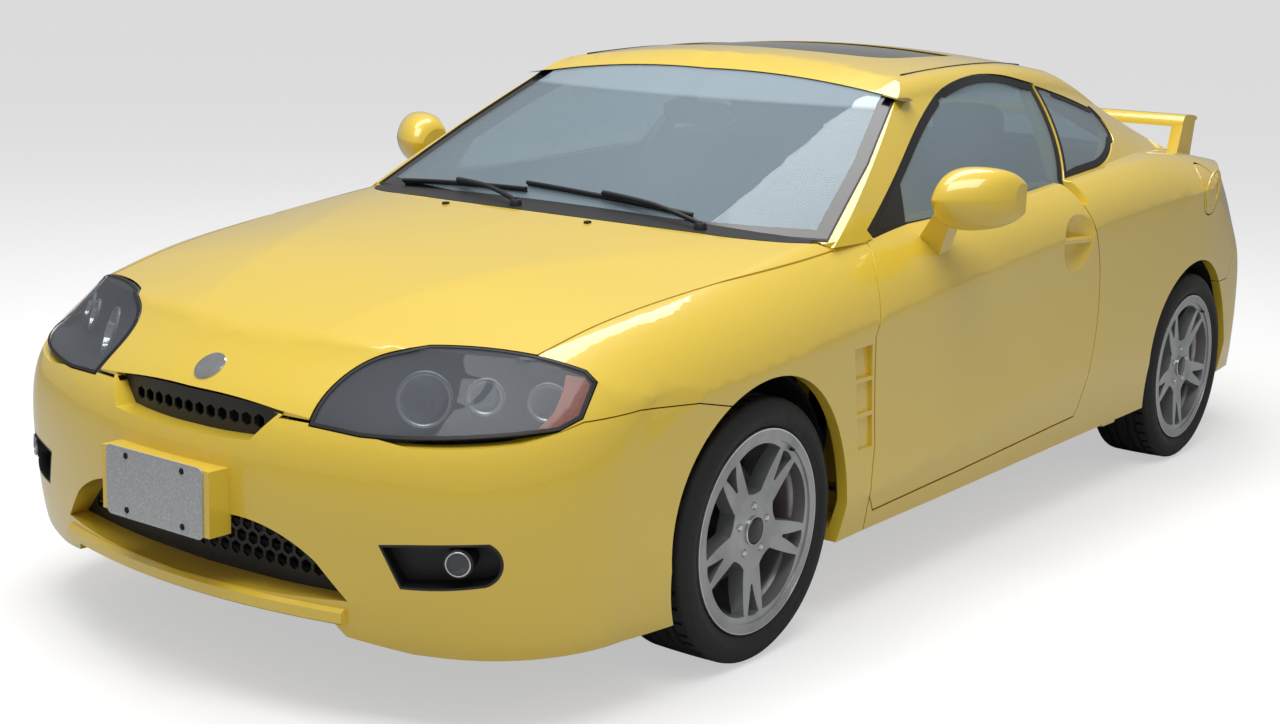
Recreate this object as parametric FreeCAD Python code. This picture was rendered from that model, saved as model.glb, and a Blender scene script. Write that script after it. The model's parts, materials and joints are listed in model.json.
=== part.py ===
"""Two-door coupe car, built as separate panels, glass, running gear and cabin pieces.

Lengths are millimetres. The tables are written with x rearward from the front axle,
y to the car's right and z up from the ground. At export every piece is shifted along x
so that the origin is the middle of the car's footprint on the ground.
"""
import FreeCAD, Part
import math
import os
from FreeCAD import Vector

# Main sizes
WHEELBASE = 2530.0
HALF_TRACK = 750.0
AXLE_HEIGHT = 306.0
TYRE_RADIUS = 306.0
TYRE_HALF_WIDTH = 106.0
TREAD_HALF_WIDTH = 92.0
LINER = 8.0
RIM_RADIUS = 226.0
RIM_FLANGE = 236.0
RIM_HALF_WIDTH = 97.0
FRONT_ARCH = 352.0
REAR_ARCH = 348.0
ARCH_CENTRE_RISE = 6.0
WHEEL_WELL_INNER = 480.0
NOSE_X = -956.0
TAIL_X = 3422.0
PLATE_FRONT = -1004.0

# Thicknesses and fits
PANEL_THICKNESS = 28.0
ROOF_THICKNESS = 30.0
GLASS_THICKNESS = 5.0
GLASS_SET_IN = 4.0
PANEL_GAP = 5.0
FIXED_GAP = 3.0
SEAT_GAP = 0.3
DOOR_INNER = 705.0
CABIN_HALF = 690.0
FLOOR_Z = 230.0
BULKHEAD_TOP = 870.0
LENS_THICKNESS = 4.0
HEADLAMP_DEPTH = 100.0

# Joint axes
KINGPIN_Y = 700.0
KINGPIN_RADIUS = 12.0
STEERING_WHEEL = (905.0, -370.0, 815.0)
COLUMN_TILT = 66.0
STRUT_TOP = 694.0

# Length columns: x, bottom z, sill half width, lower crease half width and z, inward bow of the
# side, main crease half width and z, outward bow of the shoulder, shoulder half width and z,
# hood crease half width and z, top z
BODY_SECTIONS = [
    (-1030, 172, 800, 815, 300, 2, 800, 600, 10, 470, 640, 235, 657, 660),
    (-860, 172, 825, 838, 300, 3, 815, 615, 14, 540, 690, 230, 711, 712),
    (-700, 172, 835, 848, 300, 4, 835, 629, 18, 610, 742, 225, 777, 778),
    (-535, 172, 845, 856, 300, 5, 850, 645, 20, 680, 776, 270, 825, 826),
    (-350, 172, 850, 862, 300, 6, 862, 658, 22, 712, 814, 325, 864, 866),
    (0, 190, 850, 868, 300, 7, 874, 686, 24, 728, 862, 475, 899, 915),
    (350, 205, 850, 866, 303, 8, 870, 716, 22, 730, 905, 590, 922, 950),
    (750, 208, 848, 862, 335, 10, 868, 758, 20, 762, 925, 620, 937, 960),
    (1250, 212, 846, 860, 385, 12, 868, 803, 18, 772, 942, 620, 952, 970),
    (1750, 218, 846, 860, 400, 11, 872, 845, 18, 776, 972, 620, 979, 990),
    (2150, 222, 848, 862, 370, 9, 878, 873, 18, 772, 998, 620, 1001, 1006),
    (2540, 228, 848, 864, 340, 8, 880, 893, 18, 748, 996, 600, 1003, 1012),
    (2900, 235, 832, 848, 340, 6, 838, 890, 18, 700, 958, 560, 972, 988),
    (3200, 245, 805, 822, 340, 5, 800, 880, 16, 640, 915, 500, 938, 958),
    (3540, 255, 760, 780, 340, 4, 740, 870, 14, 580, 870, 440, 897, 920),
]

# Height columns: z, how far the nose stands behind NOSE_X, nose radius, corner radius, half width
# there, how far the tail stands ahead of TAIL_X, tail radius, half width of the tail corner's centre,
# angle at which the side runs into that corner
PLAN_SECTIONS = [
    (150, 56, 1500, 330, 812, 40, 2200, 445, 24),
    (200, 24, 1600, 360, 836, 28, 2200, 455, 24),
    (300, 8, 1650, 380, 846, 14, 2200, 462, 24),
    (420, 0, 1700, 385, 850, 2, 2200, 462, 24),
    (530, 2, 1700, 385, 850, 0, 2200, 458, 25),
    (620, 38, 1700, 382, 847, 10, 2200, 452, 26),
    (715, 150, 1600, 375, 842, 47, 2200, 436, 28),
    (800, 236, 1500, 370, 839, 87, 2200, 418, 30),
    (880, 316, 1450, 362, 836, 130, 2200, 396, 32),
    (960, 396, 1370, 360, 833, 172, 2200, 372, 34),
    (1060, 480, 1300, 360, 830, 220, 2200, 345, 36),
]
TAIL_CORNER = 340.0
TAIL_SIDE = 884.0
PLAN_SIDE_CLEAR = 905.0

# Length columns: x, belt half width and z, side bow, gutter half width and z, gutter bow,
# roof edge half width and z, roof middle z
CABIN_SECTIONS = [
    (150, 760, 880, 12, 640, 1080, 10, 590, 1115, 1150),
    (500, 770, 900, 12, 630, 1140, 10, 575, 1180, 1215),
    (900, 778, 898, 12, 612, 1205, 12, 548, 1252, 1292),
    (1300, 782, 898, 12, 605, 1228, 12, 545, 1286, 1326),
    (1700, 784, 902, 12, 600, 1226, 12, 540, 1288, 1324),
    (2100, 780, 908, 12, 582, 1186, 12, 522, 1244, 1284),
    (2500, 760, 912, 12, 545, 1106, 12, 482, 1164, 1210),
    (2900, 730, 905, 10, 500, 1020, 10, 432, 1068, 1106),
    (3200, 700, 880, 8, 450, 950, 8, 380, 985, 1015),
]
# Screen surfaces: (middle x, edge x, z) low, then high, at a half width of 800
WINDSCREEN = ((60, 300, 840), (1085, 1250, 1340))
REAR_SCREEN = ((3120, 2950, 900), (1750, 1650, 1350))
SCREEN_HALF = 800.0
SCREEN_DEPTH = 72.0

# Side-view outlines (x, z); a third value marks the middle of an arc
DOOR_FRONT = [(556, 925), (540, 883), (501, 831), (460, 728), (447, 692), (468, 560, 1), (484, 417), (465, 296)]
DOOR_OUTLINE = [(556, 1000)] + DOOR_FRONT + [(495, 255), (956, 265), (1662, 289), (1680, 311), (1749, 458),
                                             (1768, 621, 1), (1671, 838), (1640, 909), (1625, 965), (1618, 1000)]
FENDER_REAR = [(556, 1010)] + DOOR_FRONT + [(465, 150)]
DOOR_GLASS_OUTLINE = [(580, 905), (562, 926), (897, 1108), (1045, 1179, 1), (1195, 1235), (1400, 1264, 1),
                      (1636, 1252), (1766, 1231), (1752, 1115, 1), (1680, 968), (1672, 915)]
QUARTER_GLASS_OUTLINE = [(1690, 973), (1761, 1115, 1), (1776, 1229), (1971, 1192, 1), (2150, 1151),
                         (2220, 1103, 1), (2160, 1045), (2070, 1011, 1), (1944, 988)]
BUMPER_LINE = [(-1080, 622), (-872, 622), (-832, 602), (-700, 620), (-590, 652), (-453, 660),
               (-279, 649), (-159, 623)]
# Air vent behind the front wheel: bottom z, top z of each slot, and the slot's ends
VENT_SLOTS = [(420, 500, 400, 468, 388, 460), (510, 588, 386, 459, 370, 448), (598, 676, 368, 446, 345, 432)]
VENT_FLOOR = 851.0
# Plan outlines (x, y)
HOOD_HALF = [(-893, 0), (-889, 200, 1), (-876, 335), (-785, 344), (-722, 394, 1), (-669, 463), (-609, 600),
             (-576, 667), (-320, 690, 1), (-100, 714), (150, 742, 1), (404, 756), (325, 687), (262, 595, 1),
             (227, 496), (168, 240, 1), (150, 0)]
HATCH_HALF = [(1880, 0), (1880, 480), (1930, 508), (2500, 508, 1), (2880, 550), (3100, 580), (3500, 590), (3500, 0)]

# Joint axes, kept outside the panels that swing
DOOR_AXIS = (DOOR_FRONT[4][0] - 1.0, 880.0)
HOOD_AXIS = (HOOD_HALF[11][0] + 10.0, 905.0)
HATCH_AXIS = (HATCH_HALF[0][0] - 12.0, 1308.0)

# Front-view outlines (y, z), half with y >= 0
UPPER_GRILLE_HALF = [(0, 641), (130, 640, 1), (256, 630), (212, 574), (110, 568, 1), (0, 567)]
LOWER_GRILLE_HALF = [(0, 414), (171, 414), (290, 396, 1), (379, 348), (446, 274), (336, 266, 1), (210, 260), (0, 257)]
# Grille plates (x, y), seen from above
UPPER_PLATE_HALF = [(-893, 0), (-887, 130, 1), (-868, 262), (-862, 262), (-881, 130, 1), (-887, 0)]
LOWER_PLATE_HALF = [(-858, 0), (-852, 210, 1), (-834, 450), (-828, 450), (-846, 210, 1), (-852, 0)]
UPPER_COLLAR_END = -860.0
LOWER_COLLAR_END = -828.0
COLLAR_WALL = 8.0
# Holes of the grille plates: pitch, and radius of each hole
CELL_PITCH = 34.0
CELL_RADIUS = 15.0
# Lower edge of the nose (y, z): the middle stands higher than the corners
CHIN_LINE = [(-560, 150), (-560, 172), (-430, 192), (-405, 225), (405, 225), (430, 192), (560, 172), (560, 150)]
LIP_REACH = 14.0
LIP_ROWS = [(224, -6), (228, 0), (250, 0), (257, -10)]
TAIL_LAMP_OUTLINE = [(430, 775), (430, 862), (640, 876, 1), (860, 880), (860, 765), (640, 765, 1)]
REAR_BUMPER_LINE = [(2700, 560), (2868, 560), (2960, 668), (3100, 700, 1), (3600, 720)]
FUEL_LID = (2563.0, 888.0)
FUEL_RADIUS = 78.0
FUEL_LID_THICKNESS = 12.0
FUEL_CUP_FLOOR = 750.0
DOOR_INSET = 26.0
HANDLE = (1573.0, 815.0)
HANDLE_SKIN = 862.0
HANDLE_BOWL = 145.0
HANDLE_DEPTH = 34.0
HANDLE_GRIP = 184.0
# Rim windows (angle, radius): wide between the spoke pairs, slim inside a pair
WIDE_WINDOW = [(-16, 92), (0, 84, 1), (16, 92), (22, 150, 1), (25, 196), (0, 202, 1), (-25, 196), (-22, 150, 1)]
SLIM_WINDOW = [(34.5, 128), (36, 126, 1), (37.5, 128), (40, 160, 1), (42.5, 194), (36, 198, 1), (29.5, 194), (32, 160, 1)]

# Headlamp outline on the left side (x, y, z)
HEADLAMP_OUTLINE = [(-876, -335, 616), (-794, -330, 690, 1), (-707, -410, 753), (-669, -463, 768),
                    (-600, -620, 770, 1), (-532, -760, 742), (-523, -782, 720), (-579, -793, 657),
                    (-632, -778, 639), (-760, -660, 624, 1), (-856, -452, 611)]
HEADLAMP_AXIS = (0.80, 0.50, -0.33)
FOG_OUTLINE = [(-873, -520, 406), (-820, -640, 421, 1), (-772, -723, 427), (-750, -741, 390, 1), (-771, -715, 336),
               (-821, -639, 324, 1), (-852, -560, 318)]
FOG_AXIS = (0.86, 0.51, 0.0)
FOG_LAMP = (-807.0, -673.0, 384.0)
FOG_LAMP_RADIUS = 30.0

# Left mirror: y, front x, rear x, bottom z, top z
MIRROR_ROWS = [(-852, 700, 798, 966, 1028), (-872, 676, 805, 946, 1054), (-940, 690, 829, 938, 1070),
               (-1000, 742, 850, 950, 1064), (-1030, 800, 861, 972, 1040)]
MIRROR_EDGE = 8.0
MIRROR_POCKET = [(786, -840), (853, -1030), (950, -1030), (950, -840)]
# Mirror foot: (x, y) corners on the door and inside the housing
MIRROR_FOOT_LOW = [(775, -760), (790, -836), (850, -832), (915, -760)]
MIRROR_FOOT_HIGH = [(718, -866), (730, -905), (790, -905), (798, -866)]

# Hoop spoiler, seen from the side (x, z)
SPOILER_BLADE = [(3075, 1042), (3082, 1070, 1), (3102, 1083), (3150, 1082, 1), (3198, 1075), (3205, 1068, 1),
                 (3198, 1062), (3140, 1050, 1)]
SPOILER_LEG = [(3040, 900), (3040, 950), (3080, 1060), (3192, 1070), (3168, 950), (3168, 900)]
SPOILER_HALF = 560.0
SPOILER_LEG_WIDTH = 40.0
# Pillar behind the panes of door and quarter, seen from the side (x, z)
B_PILLAR_OUTLINE = [(1655, 950), (1692, 1080), (1742, 1250), (1802, 1250), (1782, 1130), (1738, 950)]
PIPE_RADIUS = 26.0
PIPE_END = 6.0
CLAMP_RADIUS = 31.0
CLAMP_HALF = 22.0
TAIL_PIPE = (3262.0, -430.0, 284.0)
TAIL_PIPE_RADIUS = 38.0
TAIL_PIPE_LENGTH = 140.0

# Jack pads under the sills
JACK_X = (560.0, 2010.0)
JACK_PAD_Z = 196.0


def middle_x():
    """x of the middle of the footprint"""
    return (PLATE_FRONT + TAIL_X) / 2.0


def box(x0, x1, y0, y1, z0, z1):
    return Part.makeBox(x1 - x0, y1 - y0, z1 - z0, Vector(x0, y0, z0))


def mirrored(shape):
    return shape.mirror(Vector(0, 0, 0), Vector(0, 1, 0))


def both(shape):
    return Part.makeCompound([shape, mirrored(shape)])


def rod(a, b, radius):
    """cylinder between two points"""
    a = Vector(*a)
    b = Vector(*b)
    return Part.makeCylinder(radius, (b - a).Length, a, b - a)


def line(a, b):
    return Part.LineSegment(a, b).toShape()


def arc(a, b, c):
    return Part.Arc(a, b, c).toShape()


def grown(points, grow):
    """the outline moved outwards by grow, corner by corner"""
    count = len(points)
    area = 0.0
    for i in range(count):
        a = points[i]
        b = points[(i + 1) % count]
        area += a[0] * b[1] - b[0] * a[1]
    sign = 1.0 if area > 0 else -1.0
    moved = []
    for i in range(count):
        a = points[i - 1]
        b = points[i]
        c = points[(i + 1) % count]
        n1 = (sign * (b[1] - a[1]), -sign * (b[0] - a[0]))
        n2 = (sign * (c[1] - b[1]), -sign * (c[0] - b[0]))
        l1 = math.hypot(*n1)
        l2 = math.hypot(*n2)
        n1 = (n1[0] / l1, n1[1] / l1)
        n2 = (n2[0] / l2, n2[1] / l2)
        share = max(0.3, 1.0 + n1[0] * n2[0] + n1[1] * n2[1])
        step = (grow * (n1[0] + n2[0]) / share, grow * (n1[1] + n2[1]) / share)
        moved.append((b[0] + step[0], b[1] + step[1]) + tuple(b[2:]))
    return moved


def outline(points, place, grow=0.0):
    """closed wire of lines and arcs; place turns a pair into a point"""
    if grow:
        points = grown(points, grow)
    edges = []
    count = len(points)
    index = 0
    while index < count:
        here = points[index]
        step = points[(index + 1) % count]
        if len(step) > 2:
            end = points[(index + 2) % count]
            edges.append(arc(place(here), place(step), place(end)))
            index += 2
        else:
            edges.append(line(place(here), place(step)))
            index += 1
    return Part.Wire(edges)


def side_prism(points, y0, y1, grow=0.0):
    wire = outline(points, lambda p: Vector(p[0], y0, p[1]), grow)
    return Part.Face(wire).extrude(Vector(0, y1 - y0, 0))


def plan_prism(points, z0, z1, grow=0.0):
    wire = outline(points, lambda p: Vector(p[0], p[1], z0), grow)
    return Part.Face(wire).extrude(Vector(0, 0, z1 - z0))


def front_prism(points, x0, x1, grow=0.0):
    wire = outline(points, lambda p: Vector(x0, p[0], p[1]), grow)
    return Part.Face(wire).extrude(Vector(x1 - x0, 0, 0))


def aimed_prism(points, axis, near, far, grow=0.0):
    """prism along axis through the outline of the given points"""
    aim = Vector(*axis)
    aim.normalize()
    across = aim.cross(Vector(0, 0, 1))
    across.normalize()
    up = across.cross(aim)
    centre = Vector(0, 0, 0)
    for p in points:
        centre = centre + Vector(p[0], p[1], p[2]) * (1.0 / len(points))
    flat = []
    for p in points:
        spot = Vector(p[0], p[1], p[2]) - centre
        flat.append((spot.dot(across), spot.dot(up)) + tuple(p[3:]))
    wire = outline(flat, lambda q: centre + across * q[0] + up * q[1] + aim * near, grow)
    return Part.Face(wire).extrude(aim * (far - near))


def whole_outline(half):
    """closed outline from the half with y >= 0, first and last points on y = 0"""
    back = []
    for point in reversed(half[1:-1]):
        back.append((point[0], -point[1]) + tuple(point[2:]))
    return list(half) + back


def bowed(p, q, bow):
    """middle of p-q pushed outwards"""
    run = q[0] - p[0]
    rise = q[1] - p[1]
    span = math.hypot(run, rise)
    return ((p[0] + q[0]) / 2.0 + bow * rise / span, (p[1] + q[1]) / 2.0 - bow * run / span)


def mirrored_section(x, right, top):
    """closed wire across the car from bottom to top; right lists (from, to, bow)"""
    edges = []
    for p, q, bow in right:
        m = bowed(p, q, bow)
        if bow:
            edges.append(arc(Vector(x, p[0], p[1]), Vector(x, m[0], m[1]), Vector(x, q[0], q[1])))
        else:
            edges.append(line(Vector(x, p[0], p[1]), Vector(x, q[0], q[1])))
    last = right[-1][1]
    edges.append(arc(Vector(x, last[0], last[1]), Vector(x, 0, top), Vector(x, -last[0], last[1])))
    for p, q, bow in reversed(right):
        m = bowed(p, q, bow)
        if bow:
            edges.append(arc(Vector(x, -q[0], q[1]), Vector(x, -m[0], m[1]), Vector(x, -p[0], p[1])))
        else:
            edges.append(line(Vector(x, -q[0], q[1]), Vector(x, -p[0], p[1])))
    first = right[0][0]
    edges.append(line(Vector(x, -first[0], first[1]), Vector(x, first[0], first[1])))
    return Part.Wire(edges)


def body_section(row, inset):
    x, zb, ys, yc, zc, scallop, ym, zm, bow, ysh, zsh, yh, zh, top = row
    low = (ys - inset, zb + inset)
    crease = (yc - inset, zc)
    main = (ym - inset, zm)
    shoulder = (ysh - 0.7 * inset, zsh - inset)
    fold = (yh, zh - inset)
    right = [(low, crease, 0), (crease, main, -scallop), (main, shoulder, bow), (shoulder, fold, 2)]
    return mirrored_section(x, right, top - inset)


def body_loft(inset):
    return Part.makeLoft([body_section(row, inset) for row in BODY_SECTIONS], True, False)


def nose_end(x, radius, corner, half):
    """tangent point, corner middle and corner end of the rounded nose"""
    big = x + radius
    small = big - math.sqrt((radius - corner) ** 2 - (half - corner) ** 2)
    turn = math.atan2(half - corner, big - small)
    tangent = (big - radius * math.cos(turn), radius * math.sin(turn))
    bend = (turn + math.pi / 2) / 2
    middle = (small - corner * math.cos(bend), half - corner + corner * math.sin(bend))
    return tangent, middle, (small, half)


def tail_end(x, radius, corner, centre, lean):
    """side middle, corner start, corner middle and tangent point of the rounded tail"""
    big = x - radius
    small = big + math.sqrt((radius - corner) ** 2 - centre ** 2)
    first = math.radians(lean)
    last = math.pi / 2 - math.atan2(centre, small - big)
    bend = (first + last) / 2

    def on_corner(angle):
        return (small + corner * math.sin(angle), centre + corner * math.cos(angle))

    start = on_corner(first)
    run = start[0] - WHEELBASE
    fall = TAIL_SIDE - start[1]
    half = first - math.atan2(fall, run)
    rise = math.hypot(run, fall) / 2 * math.tan(half / 2)
    chord = math.hypot(run, fall)
    side = ((start[0] + WHEELBASE) / 2 + rise * fall / chord, (start[1] + TAIL_SIDE) / 2 + rise * run / chord)
    return side, start, on_corner(bend), on_corner(last)


def plan_section(row, inset):
    z, nose, r1, r2, half, tail, q1, centre, lean = row
    nose_x = NOSE_X + nose + inset
    tail_x = TAIL_X - tail - inset
    tn, mn, en = nose_end(nose_x, r1, r2, half - inset)
    side, st, mt, tt = tail_end(tail_x, q1, TAIL_CORNER, centre - inset, lean)
    wide = PLAN_SIDE_CLEAR - inset

    def at(p, mirror=1):
        return Vector(p[0], mirror * p[1], z)

    edges = [arc(at(tn, -1), Vector(nose_x, 0, z), at(tn)),
             arc(at(tn), at(mn), at(en)),
             line(at(en), Vector(0, wide, z)),
             line(Vector(0, wide, z), Vector(WHEELBASE, TAIL_SIDE, z)),
             arc(Vector(WHEELBASE, TAIL_SIDE, z), at(side), at(st)),
             arc(at(st), at(mt), at(tt)),
             arc(at(tt), Vector(tail_x, 0, z), at(tt, -1)),
             arc(at(tt, -1), at(mt, -1), at(st, -1)),
             arc(at(st, -1), at(side, -1), Vector(WHEELBASE, -TAIL_SIDE, z)),
             line(Vector(WHEELBASE, -TAIL_SIDE, z), Vector(0, -wide, z)),
             line(Vector(0, -wide, z), at(en, -1)),
             arc(at(en, -1), at(mn, -1), at(tn, -1))]
    return Part.Wire(edges)


def plan_loft(inset):
    return Part.makeLoft([plan_section(row, inset) for row in PLAN_SECTIONS], True, False, False, 3)


def lower_body(inset=0.0):
    """everything below the windows as one solid"""
    return body_loft(inset).common(plan_loft(inset))


def cabin_section(row, inset):
    x, yb, zb, side, yg, zg, gutter, ye, ze, top = row
    low = (yb - inset, zb - inset)
    rail = (yg - inset, zg - 0.5 * inset)
    edge = (ye - 0.6 * inset, ze - inset)
    return mirrored_section(x, [(low, rail, side), (rail, edge, gutter)], top - inset)


def screen_block(screen, inset, far):
    """everything on the cabin's side of a screen surface"""
    wires = []
    sign = 1 if far > 0 else -1
    for middle, edge, z in screen:
        middle += sign * inset
        edge += sign * inset
        a = Vector(edge, -SCREEN_HALF, z)
        b = Vector(edge, SCREEN_HALF, z)
        c = Vector(far, SCREEN_HALF, z)
        d = Vector(far, -SCREEN_HALF, z)
        wires.append(Part.Wire([arc(a, Vector(middle, 0, z), b), line(b, c), line(c, d), line(d, a)]))
    return Part.makeLoft(wires, True, True)


def upper_body(inset=0.0):
    """the greenhouse as one solid; inset moves every surface inwards"""
    loft = Part.makeLoft([cabin_section(row, inset) for row in CABIN_SECTIONS], True, False)
    loft = loft.common(screen_block(WINDSCREEN, 2.3 * inset, 5000))
    return loft.common(screen_block(REAR_SCREEN, 2.3 * inset, -2000))


def wheel_wells(grow=0.0):
    """space kept free round the left tyres"""
    z = AXLE_HEIGHT + ARCH_CENTRE_RISE
    wells = []
    for x, radius in ((0.0, FRONT_ARCH), (WHEELBASE, REAR_ARCH)):
        start = Vector(x, -WHEEL_WELL_INNER - 600.0, z)
        wells.append(Part.makeCylinder(radius + grow, 600.0 + grow, start, Vector(0, 1, 0)))
    return wells


def all_wells(grow=0.0):
    wells = wheel_wells(grow)
    return wells + [mirrored(well) for well in wells]


def arch_liner(x, radius, y0, y1):
    """upper half ring round a tyre on the left, between two |y| values"""
    z = AXLE_HEIGHT + ARCH_CENTRE_RISE
    ring = Part.makeCylinder(radius + LINER, y1 - y0, Vector(x, -y1, z), Vector(0, 1, 0))
    ring = ring.cut(Part.makeCylinder(radius + SEAT_GAP, y1 - y0, Vector(x, -y1, z), Vector(0, 1, 0)))
    return ring.common(box(x - 500, x + 500, -y1, -y0, z + 30, z + 500))


def headlamp_prism(grow=0.0, near=-260.0, far=420.0):
    return aimed_prism(HEADLAMP_OUTLINE, HEADLAMP_AXIS, near, far, grow)


def fog_prism(grow=0.0, near=-160.0, far=200.0):
    return aimed_prism(FOG_OUTLINE, FOG_AXIS, near, far, grow)


def hood_prism(grow=0.0):
    return plan_prism(whole_outline(HOOD_HALF), 560, 1100, grow)


def hatch_prism(grow=0.0):
    return plan_prism(whole_outline(HATCH_HALF), 735 - grow, 1400, grow)


def grille_prisms(grow=0.0, back=(-700.0, -700.0)):
    """upper slot and lower opening of the nose"""
    upper = front_prism(whole_pair(UPPER_GRILLE_HALF), -1100, back[0], grow)
    lower = front_prism(whole_pair(LOWER_GRILLE_HALF), -1100, back[1], grow)
    return [upper, lower]


def collars(low):
    """walls round the two grille openings, left half"""
    made = []
    back = (UPPER_COLLAR_END, LOWER_COLLAR_END)
    trim = [plan_prism(whole_outline(HOOD_HALF), BUMPER_LINE[1][1] - PANEL_GAP, 1100, PANEL_GAP),
            headlamp_prism(FIXED_GAP), box(-1100, -800, 0, 10, 100, 700),
            box(-1100, -700, -600, 10, 636, 700)]
    for outer, inner in zip(grille_prisms(COLLAR_WALL, back), grille_prisms()):
        made.append(low.common(outer).cut(trim + [inner]))
    return made


def grille_cells():
    """six-sided holes on a staggered grid over both grille plates"""
    cells = []
    for level in range(13):
        z = 276.0 + level * CELL_PITCH * 0.87
        for step in range(-14, 15):
            y = (step + 0.5 * (level % 2)) * CELL_PITCH
            ring = []
            for k in range(6):
                turn = math.radians(60 * k)
                ring.append((y + CELL_RADIUS * math.sin(turn), z + CELL_RADIUS * math.cos(turn)))
            cells.append(ring)
    return cells


def inside_half(ring, half, margin):
    """whether every corner of the ring lies inside the half outline, mirrored, with a margin"""
    points = grown([(p[0], p[1]) for p in whole_pair(half)], -margin)
    for y, z in ring:
        odd = False
        for i in range(len(points)):
            a = points[i - 1]
            b = points[i]
            if (a[1] > z) != (b[1] > z) and y < a[0] + (z - a[1]) * (b[0] - a[0]) / (b[1] - a[1]):
                odd = not odd
        if not odd:
            return False
    return True


def grilles():
    """black honeycomb plates that sit in the two collars"""
    pieces = []
    halves = (UPPER_GRILLE_HALF, LOWER_GRILLE_HALF)
    for plate, half, prism in zip((UPPER_PLATE_HALF, LOWER_PLATE_HALF), halves, grille_prisms(-SEAT_GAP)):
        holes = [front_prism(ring, -1000, -800) for ring in grille_cells() if inside_half(ring, half, 4.0)]
        pieces.append(plan_prism(whole_outline(plate), 200, 700).common(prism).cut(holes))
    return Part.makeCompound(pieces)


def front_lip():
    """raised lip along the middle of the chin"""
    wires = []
    for z, reach in LIP_ROWS:
        row = (z, 14.0) + PLAN_SECTIONS[2][2:]
        wires.append(plan_section(row, -LIP_REACH - reach))
    lip = Part.makeLoft(wires, True, True).common(box(-1100, -800, -440, 0, 200, 300))
    core = Part.Face(plan_section((200, 14.0) + PLAN_SECTIONS[2][2:], 40)).extrude(Vector(0, 0, 100))
    return lip.cut(core)


def whole_pair(half):
    """closed (y, z) outline from the half with y >= 0"""
    back = []
    for point in reversed(half[1:-1]):
        back.append((-point[0], point[1]) + tuple(point[2:]))
    return list(half) + back


def tail_lamp_prisms(grow=0.0):
    right = front_prism(TAIL_LAMP_OUTLINE, 3060, 3600, grow)
    return [right, mirrored(right)]


def fuel_cylinder(radius, inner=720.0):
    """cylinder across the left quarter from |y| = inner outwards"""
    x, z = FUEL_LID
    return Part.makeCylinder(radius, 1000.0 - inner, Vector(x, -1000.0, z), Vector(0, 1, 0))


def bumper_prism(grow=0.0):
    points = BUMPER_LINE + [(-100, 560), (-60, 120), (-1080, 120)]
    return side_prism(points, -1000, 1000, grow)


def rear_bumper_prism(grow=0.0):
    points = REAR_BUMPER_LINE + [(3600, 120), (2700, 120)]
    return side_prism(points, -1000, 1000, grow)


def front_bumper(skin, low):
    """left half, mirrored and joined"""
    cuts = [hood_prism(PANEL_GAP), headlamp_prism(FIXED_GAP), fog_prism()] + grille_prisms()
    cuts.append(front_prism(CHIN_LINE, -1100, -600))
    half = skin.common(bumper_prism()).cut(cuts)
    half = half.fuse([front_lip()] + collars(low))
    return half.fuse(mirrored(half)).fuse(plate_holder())


def rear_bumper(skin):
    half = skin.common(rear_bumper_prism()).cut([hatch_prism(PANEL_GAP)])
    x, y, z = TAIL_PIPE
    room = TAIL_PIPE_RADIUS + 8
    round_pipe = Part.makeCylinder(room, 300, Vector(x - 60, y, z), Vector(1, 0, 0))
    below = box(x - 60, x + 240, y - room, y + room, 100, z)
    return half.fuse(mirrored(half)).cut([round_pipe, below])


def hood(skin):
    half = skin.common(hood_prism()).cut([headlamp_prism(PANEL_GAP), bumper_prism(PANEL_GAP),
                                          grille_prisms(PANEL_GAP)[0]])
    return half.fuse(mirrored(half))


def fender(skin, cabin):
    """left front fender, clear of the cabin's shell"""
    rear = [(p[0] - PANEL_GAP,) + tuple(p[1:]) for p in FENDER_REAR]
    low = [(x, z + FIXED_GAP) for x, z in BUMPER_LINE[4:]]
    points = [(-640, 1010)] + rear + [(0, 150), (0, 500)] + list(reversed(low)) + [(-640, 640)]
    region = side_prism(points, -1000, -300)
    cuts = [hood_prism(PANEL_GAP), headlamp_prism(FIXED_GAP), box(140, 560, -719, 0, 780, 1100),
            box(330, 402, -741, 0, 880, 1100), cabin]
    panel = skin.common(region).cut(cuts)
    for z0, z1, low_front, low_rear, high_front, high_rear in VENT_SLOTS:
        corners = [(low_front, z0), (low_rear, z0), (high_rear, z1), (high_front, z1)]
        panel = panel.cut(side_prism(corners, -1000, -VENT_FLOOR))
    return panel


def cowl(skin, cabin):
    region = box(140, 398, -716, 0, 840, 1000)
    half = skin.common(region).cut([hood_prism(PANEL_GAP), cabin])
    half = half.fuse(box(356, 380, -600, -560, BULKHEAD_TOP + SEAT_GAP, 906))
    return half.fuse(mirrored(half))


def door_shell(skin, low):
    """left door: outer skin with a full-depth inner box behind it"""
    outer = skin.common(side_prism(DOOR_OUTLINE, -1000, -DOOR_INNER))
    core = low.common(side_prism(DOOR_OUTLINE, -842, -DOOR_INNER, -DOOR_INSET))
    x, z = HANDLE
    bowl = Part.makeSphere(HANDLE_BOWL, Vector(x, -HANDLE_SKIN - HANDLE_BOWL + HANDLE_DEPTH, z))
    reach = HANDLE_GRIP / 2
    grip = rod((x - reach, -HANDLE_SKIN + 8, z + 5), (x + reach, -HANDLE_SKIN + 8, z - 4), 11)
    return outer.fuse(core).cut(bowl).fuse(grip)


def wheel_profile(points):
    """revolve (y, r) points about the axle; a third value marks the middle of an arc"""
    wire = outline(points, lambda p: Vector(0, p[0], p[1]))
    return Part.Face(wire).revolve(Vector(0, 0, 0), Vector(0, 1, 0), 360)


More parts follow.
